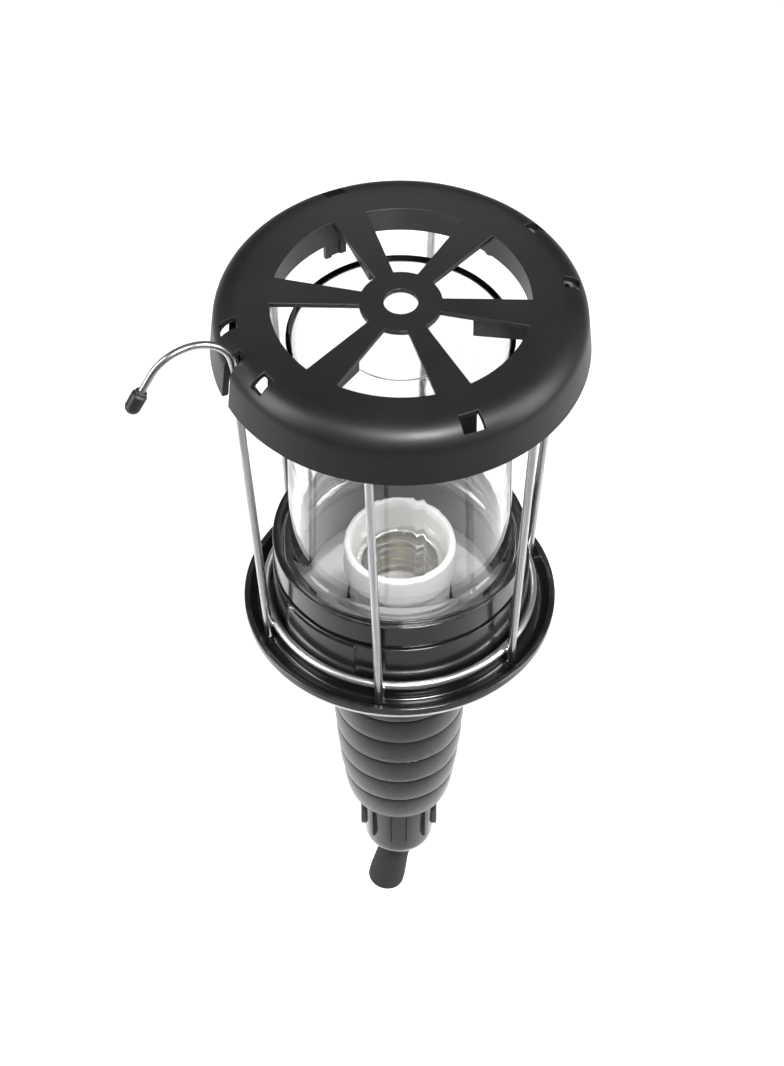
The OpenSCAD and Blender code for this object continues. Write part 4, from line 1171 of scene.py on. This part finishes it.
@dataclass
class ScrewGlass:
    """The pressed glass: a thick tube with a closed top and a threaded neck. Millimetres."""

    radius: float = 38.9
    wall: float = 3.0
    top_z: float = 114.0
    neck_r: float = 41.7
    neck_foot_z: float = 1.8
    neck_head_z: float = 12.8
    thread_pitch: float = 4.0
    thread_depth: float = 0.75
    step_r: float = 20.5
    step_h: float = 0.45
    top_thinning: float = 1.0

    def _outline(self) -> tuple[Array, Array]:
        """Outside from the neck's foot to the top's centre, then the inside back down."""
        inner = self.radius - self.wall
        neck_in = self.neck_r - self.wall
        foot, head = self.neck_foot_z, self.neck_head_z
        return rounded([
            (neck_in, foot, 0.5), (self.neck_r, foot, 0.7), (self.neck_r, head - 1.2, 1.6),
            (self.radius + 0.5, head + 1.6, 2.4), (self.radius, head + 6.0, 3.0), (self.radius, 60.0),
            (self.radius, self.top_z, 1.6), (self.radius - 3.6, self.top_z, 0.0),
            (self.step_r + 0.9, self.top_z, 0.7), (self.step_r, self.top_z - self.step_h, 0.7),
            (0.0, self.top_z - self.step_h), (0.0, self.top_z - self.wall),
            (inner + self.top_thinning, self.top_z - self.wall, 0.7), (inner, 60.0), (inner, head + 4.0, 3.0),
            (neck_in, head - 3.0, 2.4),
        ], steps=6)

    def build(self) -> None:
        """Builds the glass with its thread, and the gasket under it."""
        outline, mark = self._outline()
        span = (self.neck_head_z - self.neck_foot_z - 2.6) * MM
        first = np.flatnonzero(np.isclose(outline[:, 0], self.neck_r * MM, atol=1e-7))
        low, high = outline[first[0]], outline[first[-1]]
        rows = np.linspace(0.0, 1.0, 34)[1:-1, None]
        outline = np.concatenate([outline[:first[0] + 1], low + (high - low) * rows, outline[first[-1]:]])
        mark = np.concatenate([mark[:first[0] + 1], np.zeros(32), mark[first[-1]:]])
        grid = turned(outline, full_turn(216))
        z = grid[..., 2] - self.neck_foot_z * MM
        past_neck = smooth_step(z, span - 0.6 * MM, span + 0.9 * MM)
        on_neck = smooth_step(z, 0.6 * MM, 2.0 * MM) * (1.0 - past_neck)
        outside = np.hypot(grid[..., 0], grid[..., 1]) > (self.neck_r - 0.6) * MM
        dip = self.thread_depth * MM * (1.0 - helix_wave(grid, self.thread_pitch * MM)) * on_neck * outside
        seam = 0.09 * MM * np.exp(-((np.arctan2(grid[..., 1], grid[..., 0]) + np.radians(80.0)) / 0.012) ** 2)
        on_wall = (np.hypot(grid[..., 0], grid[..., 1]) > (self.radius - 0.2) * MM) & (z > 14 * MM)
        grid = push_out(grid, seam * on_wall - dip)
        glass = Piece("screw_glass", [Patch.grid(grid, wrap_rows=True, arris=mark)]).creased(60.0)
        glass.settle("globe", "glass_globe", "clear_glass", CLEAR_GLASS)
        glass.object.visible_shadow = False
        ring, mark = rounded([(37.7, -0.15, 0.3), (41.5, -0.15, 0.3), (41.5, 1.75, 0.5), (40.2, 1.75, 0.2),
                              (39.6, 1.45, 0.2), (39.0, 1.75, 0.2), (37.7, 1.75, 0.5)])
        Piece("gasket_ring", [Patch.grid(turned(ring, full_turn(128)), True, mark)]).settle(
            "gasket", "globe_gasket", "gasket_rubber", GASKET_RUBBER)


@dataclass
class Housing:
    """The black housing: collar, groove, drum with three lugs, dished flange, floor and well. Millimetres."""

    bore_r: float = 42.1
    collar_r: float = 44.7
    collar_z: float = 14.8
    band_foot_z: float = 5.5
    groove_foot_z: float = 3.2
    groove_r: float = 43.1
    drum_r: float = 44.82
    lug_h: float = 0.8
    lug_z: tuple = (-14.8, 2.4)
    lug_az: tuple = (230.0, 350.0, 110.0)
    lug_half: float = 20.0
    ledge_z: float = -14.6
    ledge_r: float = 47.4
    dish_z: float = -19.4
    dish_in_r: float = 47.7
    lip_z: float = -16.4
    flange_r: float = 55.3
    flange_foot_z: float = -22.4
    well_r: float = 18.2
    well_out_r: float = 20.6
    well_z: float = -38.0
    floor_z: float = -17.0
    seat_z: float = -0.2
    seat_r: float = 36.5

    def _outline(self) -> tuple[Array, Array]:
        """The housing's closed section."""
        top, flange = self.collar_z, self.flange_r
        return rounded([
            (self.bore_r, self.seat_z), (self.bore_r, top + 1.1, 0.35), (self.bore_r + 1.0, top + 1.1, 0.35),
            (self.bore_r + 1.3, top + 0.35, 0.3), (self.collar_r, top + 0.2, 0.6),
            (self.collar_r, self.band_foot_z, 0.35), (self.groove_r, self.band_foot_z - 0.5, 0.3),
            (self.groove_r, self.groove_foot_z, 0.3), (self.drum_r, self.groove_foot_z, 0.5),
            (self.drum_r, self.lug_z[1] + 0.25), (self.drum_r, self.lug_z[1] - 0.1), (self.drum_r, -6.0),
            (self.drum_r, self.ledge_z, 0.2), (self.ledge_r + 0.1, self.ledge_z, 0.3),
            (self.dish_in_r, self.dish_z, 1.4), (flange - 4.6, self.dish_z, 1.6),
            (flange - 1.9, self.lip_z - 0.25, 1.0), (flange - 1.0, self.lip_z, 0.5),
            (flange, self.lip_z, 0.55), (flange, self.lip_z - 2.8, 1.2),
            (flange - 1.6, self.flange_foot_z, 1.4),
            (self.well_out_r + 1.5, self.flange_foot_z), (self.well_out_r, self.flange_foot_z - 1.2, 0.3),
            (self.well_out_r, self.well_z - 2.4, 0.5), (8.0, self.well_z - 2.4), (8.0, self.well_z),
            (self.well_r, self.well_z, 0.4), (self.well_r, self.floor_z, 0.4), (self.seat_r, self.floor_z),
            (self.seat_r, self.seat_z),
        ], steps=5)

    def _angles(self) -> Array:
        """Columns every 1.5 degrees, with close ones at the lugs' ends."""
        ends = np.concatenate([np.array([a - self.lug_half, a + self.lug_half]) for a in self.lug_az]) % 360.0
        close = (ends[:, None] + np.array([-0.45, -0.2, 0.0, 0.2, 0.45])).ravel() % 360.0
        filler = np.arange(0.0, 360.0, 1.5)
        gap = np.abs((filler[:, None] - ends[None] + 180.0) % 360.0 - 180.0).min(1)
        return np.radians(np.sort(np.r_[close, filler[gap > 0.9]]))

    def build(self) -> None:
        """Builds the housing: the turned section, with the drum pushed out over each lug."""
        outline, mark = self._outline()
        grid = turned(outline, self._angles())
        azimuth = np.degrees(np.arctan2(grid[..., 1], grid[..., 0]))
        off = np.abs((azimuth[..., None] - np.array(self.lug_az) + 180.0) % 360.0 - 180.0).min(-1)
        in_arc = 1.0 - smooth_step(off, self.lug_half - 0.3, self.lug_half + 0.3)
        on_drum = np.isclose(np.hypot(grid[..., 0], grid[..., 1]), self.drum_r * MM, atol=2e-5)
        low = (grid[..., 2] > (self.lug_z[0] - 0.1) * MM) & (grid[..., 2] < (self.lug_z[1] + 0.05) * MM)
        grid = push_out(grid, in_arc * on_drum * low * self.lug_h * MM)
        housing = Piece("housing_moulding", [Patch.grid(grid, True, mark)]).creased(46.0)
        housing.settle("handle_unit", "lamp_housing", "gloss_black_plastic", GLOSS_HOUSING)


@dataclass
class Lampholder:
    """The porcelain holder with its rolled screw shell. Millimetres."""

    mouth_r: float = 20.0
    mouth_z: float = 12.0
    body_r: float = 17.8
    foot_z: float = -32.5
    shell_r: float = 13.3
    shell_len: float = 22.0
    contact_z: float = -25.5
    thread_pitch: float = 3.63
    thread_depth: float = 0.62

    def _porcelain(self) -> None:
        """The turned body: rounded mouth, sloping throat, and a shell pocket with a small recess in its
        floor.
        """
        pocket = self.shell_r + 0.55
        m, z = self.mouth_r, self.mouth_z
        outline, mark = rounded([
            (0.0, self.contact_z - 4.0), (6.0, self.contact_z - 4.0, 0.3), (6.0, self.contact_z, 0.4),
            (pocket, self.contact_z, 0.3), (pocket, 0.8, 0.2), (pocket + 2.2, 0.8, 0.5),
            (m - 3.1, z - 2.2, 3.0), (m - 2.2, z, 1.1), (m - 0.1, z, 1.6), (m, 0.4, 1.2),
            (m - 0.5, -1.2, 0.8), (self.body_r, -4.0, 1.2), (self.body_r, self.foot_z, 1.2),
            (0.0, self.foot_z),
        ], closed=False, steps=7)
        grid = turned(outline, full_turn(144))
        Piece("porcelain_holder", [Patch.grid(grid, arris=mark)]).creased(50.0).settle(
            "handle_unit", "lampholder_body", "porcelain", PORCELAIN)

    def _shell(self) -> None:
        """The rolled shell: one thin wall that waves with the thread, under a turned-out rim."""
        wall, rim = 0.4, self.shell_r + 2.2
        rows = np.linspace(-self.shell_len, -0.6, 74)
        out = np.stack([np.full_like(rows, self.shell_r + 0.46), rows], -1)
        flare = np.array([(self.shell_r + 0.46, 0.3), (self.shell_r + 0.6, 0.75), (self.shell_r + 1.0, 0.95),
                          (rim, 1.0), (rim + 0.05, 1.2), (rim, 1.4), (self.shell_r + 0.9, 1.36),
                          (self.shell_r + 0.3, 1.1), (self.shell_r + 0.06, 0.5)])
        inside = np.stack([np.full_like(rows, self.shell_r + 0.46 - wall), rows], -1)[::-1]
        grid = turned(np.concatenate([out, flare, inside]) * MM, full_turn(120))
        z = grid[..., 2]
        threaded = smooth_step(z, -21.6 * MM, -20.4 * MM) * (1.0 - smooth_step(z, -2.6 * MM, -0.8 * MM))
        wave = self.thread_depth * MM * (1.0 - helix_wave(grid, self.thread_pitch * MM)) * threaded
        Piece("threaded_shell", [Patch.grid(push_out(grid, -wave), True)]).creased(60.0).settle(
            "handle_unit", "screw_shell", "plated_shell", SHELL_METAL)

    def build(self) -> None:
        """Builds the porcelain and the shell."""
        self._porcelain()
        self._shell()


@dataclass
class Grip:
    """The banded grip. Millimetres."""

    top_z: float = -23.8
    end_z: float = -123.0
    top_r: float = 25.0
    end_r: float = 18.0
    bands: int = 8
    swell: float = 0.7
    rubber: float = 1.85

    def groove_radius(self, z: Array) -> Array:
        """Radius of the grooves at height z: the top radius less 7 (0.42 t + 0.58 t^4), t from top to end."""
        t = (self.top_z - z) / (self.top_z - self.end_z)
        return self.top_r - (self.top_r - self.end_r) * (0.42 * t + 0.58 * t ** 4)

    def build(self) -> None:
        """Builds the sleeve.

        Each band swells by sqrt(4 t (1 - t)) of its height fraction t, drawn towards its lower edge, where it
        ends in a small lip over the next band.
        """
        fraction = np.r_[0.0, 0.006, 0.02, 0.05, 0.1, 0.2, 0.32, 0.45, 0.58,
                         0.7, 0.8, 0.88, 0.94, 0.972, 0.99]
        band = np.arange(self.bands)[:, None]
        height = (self.top_z - self.end_z) / self.bands
        z = (self.top_z - (band + fraction) * height).ravel()
        bulge = np.tile(self.swell * np.sqrt(4.0 * fraction * (1.0 - fraction)) ** 0.8, self.bands)
        arris = np.tile((np.abs(fraction - 0.95) < 0.035).astype(float), self.bands)
        outside = np.stack([self.groove_radius(z) + bulge, z], -1)
        foot = np.array([(self.end_r + 0.25, self.end_z), (self.end_r + 0.1, self.end_z - 0.35),
                         (self.end_r - 0.3, self.end_z - 0.5), (self.end_r - 3.9, self.end_z - 0.5),
                         (self.end_r - 3.9, self.end_z + 1.35)])
        up = np.linspace(self.end_z + 1.35, self.top_z, 18)
        inside = np.stack([self.groove_radius(up) - self.rubber, up], -1)
        outline = np.concatenate([outside, foot, inside]) * MM
        marks = np.r_[arris, np.zeros(len(foot) + len(inside))]
        grip = Piece("banded_grip", [Patch.grid(turned(outline, full_turn(144)), True, marks)]).creased(48.0)
        grip.settle("handle_unit", "grip_sleeve", "grip_rubber", GRIP_RUBBER)


@dataclass
class CableGland:
    """The ribbed nut and the leaning bend-relief sleeve. Millimetres and degrees."""

    nut_top_z: float = -124.4
    nut_foot_z: float = -154.4
    nut_r: float = 13.5
    bore_r: float = 11.48
    floor_z: float = -151.45
    ribs: int = 12
    rib_h: float = 1.2
    rib_w: float = 1.7
    rib_z: tuple = (-144.4, -125.2)
    sleeve_r: float = 6.2
    sleeve_bore: float = 4.2
    sleeve_len: float = 29.0
    lean: float = 10.0
    flange_z: tuple = (-151.05, -148.65)
    flange_r: float = 10.6

    def _nut(self) -> None:
        """The nut: a turned cup whose wall is pushed out over each rib."""
        foot_r = self.nut_r - 1.3
        outline, mark = rounded([
            (self.bore_r, self.nut_top_z, 0.3), (self.nut_r, self.nut_top_z, 0.5),
            (self.nut_r, self.rib_z[1] + 0.05), (self.nut_r, self.rib_z[1] - 0.6),
            (self.nut_r - 0.3, -135.0), (self.nut_r - 0.5, self.rib_z[0] + 1.4),
            (self.nut_r - 0.55, self.rib_z[0] + 0.6), (self.nut_r - 0.6, self.rib_z[0] - 0.1),
            (self.nut_r - 0.62, -146.4), (foot_r, self.nut_foot_z, 5.0),
            (self.sleeve_r + 0.4, self.nut_foot_z, 0.3), (self.sleeve_r + 0.4, self.floor_z),
            (self.bore_r, self.floor_z),
        ], steps=6)
        across = np.degrees(self.rib_w / 2 / self.nut_r)
        local = np.r_[-11.0, -7.5, -across - 0.9, -across - 0.2, -across + 0.5, -1.4, 0.0,
                      1.4, across - 0.5, across + 0.2, across + 0.9, 7.5, 11.0, 15.0]
        pitch = 360.0 / self.ribs
        columns = np.radians((pitch / 2 + np.arange(self.ribs)[:, None] * pitch + local).ravel())
        grid = turned(outline, columns)
        off = np.abs((np.degrees(columns)) % pitch - pitch / 2)
        ridge = 1.0 - smooth_step(off, across - 0.55, across + 0.25)
        z = grid[..., 2] / MM
        length = smooth_step(z, self.rib_z[0], self.rib_z[0] + 0.7) * (1 - smooth_step(z, self.rib_z[1] - 0.5,
                                                                                     self.rib_z[1]))
        outside = np.hypot(grid[..., 0], grid[..., 1]) > (self.nut_r - 0.7) * MM
        target = (self.nut_r + self.rib_h) * MM - np.hypot(grid[..., 0], grid[..., 1])
        grid = push_out(grid, ridge[None] * length * outside * target)
        Piece("ribbed_nut", [Patch.grid(grid, True, mark)]).creased(44.0).settle(
            "gland", "gland_nut", "nut_plastic", NUT_PLASTIC)

    def _sleeve(self) -> None:
        """The sleeve: a flange in the nut, and a waisted tail with a rounded, slightly flared end."""
        end_r, waist, length = self.sleeve_r + 0.5, self.sleeve_r - 0.3, self.sleeve_len
        tail, tail_mark = rounded([
            (self.sleeve_bore, 1.2), (self.sleeve_r - 0.02, 1.2), (self.sleeve_r - 0.02, 0.0, 2.0),
            (waist, -length * 0.42, 14.0), (end_r, -length * 0.8, 6.0), (end_r, -length, 2.4),
            (self.sleeve_bore, -length, 0.5),
        ], steps=10)
        a = np.radians(self.lean)
        tilt = np.array([[np.cos(a), 0.0, np.sin(a)], [0.0, 1.0, 0.0], [-np.sin(a), 0.0, np.cos(a)]])
        below = turned(tail, full_turn(72)) @ tilt.T + np.array([0.0, 0.0, self.nut_foot_z * MM])
        low, high = self.flange_z
        upper, upper_mark = rounded([
            (self.sleeve_bore, self.nut_foot_z - 0.6), (self.sleeve_r, self.nut_foot_z - 0.6),
            (self.sleeve_r, low, 0.3), (self.flange_r, low, 0.3), (self.flange_r, high, 0.3),
            (self.sleeve_bore, high, 0.3),
        ])
        patches = [Patch.grid(below, True, tail_mark),
                   Patch.grid(turned(upper, full_turn(72)), True, upper_mark)]
        Piece("bend_relief_sleeve", patches).creased(50.0).settle(
            "gland_seat", "bend_sleeve", "sleeve_rubber", SLEEVE_RUBBER)

    def build(self) -> None:
        """Builds the nut and the sleeve."""
        self._nut()
        self._sleeve()


@dataclass
class InnerFittings:
    """Frame nodes whose shape is right already: they keep it and get their finish."""

    finishes: dict = field(default_factory=lambda: {
        "reflector_disc": FLOOR_COATING, "centre_contact": BRASS, "side_contact": BRASS,
        "contact_rivets": BRASS, "holder_bracket": ZINC_STEEL, "bracket_screws": ZINC_STEEL,
        "terminal_blocks": BRASS, "terminal_screws": ZINC_STEEL, "handle_core": CORE_PLASTIC,
        "handle_screws": ZINC_STEEL, "gland_seal": GASKET_RUBBER, "slip_ring": ZINC_STEEL,
    })

    def build(self) -> None:
        """Puts each finish in every slot of its node."""
        for node, finish in self.finishes.items():
            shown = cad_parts[node]
            for slot in shown.material_slots:
                slot.material = finish.material()
            log.info("%s keeps its shape, finish %s", node, finish.name)


@dataclass
class Studio:
    """Pale floor, soft lights and the camera, in metres and degrees.

    Attributes:
        camera_at: where the camera is.
        camera_right: direction of the view's right.
        camera_up: direction of the view's top.
        lens_mm: focal length over a 36 mm sensor.
        floor_drop: from the lamp's lowest point down to the floor.
        floor_size: side of the floor.
        world: strength of the surroundings where they light or are mirrored.
        sky: their strength where they are seen.
        side_size: width and height of the softboxes at the sides.
        side_power: power of each, in watts.
    """

    camera_at: tuple = (0.0, -1.1027, 1.2477)
    camera_right: tuple = (1.0, 0.0042, 0.0015)
    camera_up: tuple = (-0.0042, 0.7455, 0.6665)
    lens_mm: float = 159.2
    floor_drop: float = 0.22
    floor_size: float = 14.0
    world: float = 0.13
    sky: float = 0.9
    side_size: tuple = (0.5, 1.3)
    side_power: float = 5.5

    @staticmethod
    def _place(name: str, data: bpy.types.Light, at: tuple, aim: tuple) -> None:
        """Puts the light at its place, facing the point it is aimed at."""
        lamp = bpy.data.objects.new(name, data)
        lamp.location = at
        lamp.rotation_euler = (Vector(aim) - Vector(at)).to_track_quat("-Z", "Y").to_euler()
        bpy.context.scene.collection.objects.link(lamp)

    def _light(self, name: str, at: tuple, aim: tuple, size: tuple, power: float,
               spread_deg: float) -> None:
        """A soft rectangular light.

        Args:
            name: its name.
            at: its place.
            aim: the point it faces.
            size: width and height.
            power: in watts.
            spread_deg: whole angle of its beam.
        """
        data = bpy.data.lights.new(name, "AREA")
        data.shape = "RECTANGLE"
        data.size, data.size_y = size
        data.energy, data.spread = power, np.radians(spread_deg)
        self._place(name, data, at, aim)

    def _spot(self, name: str, at: tuple, aim: tuple, cone_deg: float, power: float) -> None:
        """A soft-edged spot that lights the floor behind the lamp and leaves the lamp alone.

        Args:
            name: its name.
            at: its place.
            aim: the point it faces.
            cone_deg: its whole cone.
            power: in watts.
        """
        data = bpy.data.lights.new(name, "SPOT")
        data.energy, data.spot_size, data.spot_blend = power, np.radians(cone_deg), 0.3
        data.shadow_soft_size = 0.1
        self._place(name, data, at, aim)

    def build(self, lowest: float) -> None:
        """Sets the floor under the lamp, the lights round it and the camera on it.

        Args:
            lowest: height of the lamp's lowest point.
        """
        half, z = self.floor_size / 2, lowest - self.floor_drop
        mesh = bpy.data.meshes.new("floor")
        mesh.from_pydata([(-half, -half, z), (half, -half, z), (half, half, z), (-half, half, z)], [],
                         [(0, 1, 2, 3)])
        mesh.materials.append(STUDIO_FLOOR.material())
        floor = bpy.data.objects.new("floor", mesh)
        bpy.context.scene.collection.objects.link(floor)
        floor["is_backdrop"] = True
        for name, x in (("left_softbox", -1.1), ("right_softbox", 1.1)):
            self._light(name, (x, -0.25, 0.5), (0.0, 0.0, 0.0), self.side_size, self.side_power, 110.0)
        self._light("front_softbox", (0.3, -0.86, 1.4), (0.0, 0.0, 0.1), (0.55, 0.3), 1.8, 34.0)
        self._spot("floor_spot", (0.0, 1.15, 2.6), (0.0, 1.15, -0.4), 50.0, 275.0)
        world = bpy.data.worlds.new("studio")
        world.use_nodes = True
        background = world.node_tree.nodes["Background"]
        background.inputs["Color"].default_value = (1.0, 1.0, 1.0, 1.0)
        tree = world.node_tree
        strength = Effects.value_range(tree, Effects.seen(tree), 0.0, 1.0, self.world, self.sky)
        tree.links.new(strength, background.inputs["Strength"])
        bpy.context.scene.world = world
        data = bpy.data.cameras.new("camera")
        data.lens = self.lens_mm
        data.sensor_width = 36.0
        camera = bpy.data.objects.new("camera", data)
        right, up = Vector(self.camera_right).normalized(), Vector(self.camera_up).normalized()
        back = right.cross(up)
        turn = Matrix((right, back.cross(right), back)).transposed().to_4x4()
        camera.matrix_world = Matrix.Translation(self.camera_at) @ turn
        bpy.context.scene.collection.objects.link(camera)
        bpy.context.scene.camera = camera
        bpy.context.scene.view_settings.view_transform = "Standard"


def main() -> None:
    """Builds the lamp's sub-assemblies in order, then the studio."""
    logging.basicConfig(level=logging.INFO, format="%(name)s: %(message)s")
    cad_box = [list(corner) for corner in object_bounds()]
    for assembly in (GuardCap(), WireGuard(), FoldingHook(), ScrewGlass(), Housing(), Lampholder(), Grip(),
                     CableGland(), InnerFittings()):
        assembly.build()
    Studio().build(cad_box[0][2])
    log.info("sizes written")


if __name__ == "__main__":
    main()
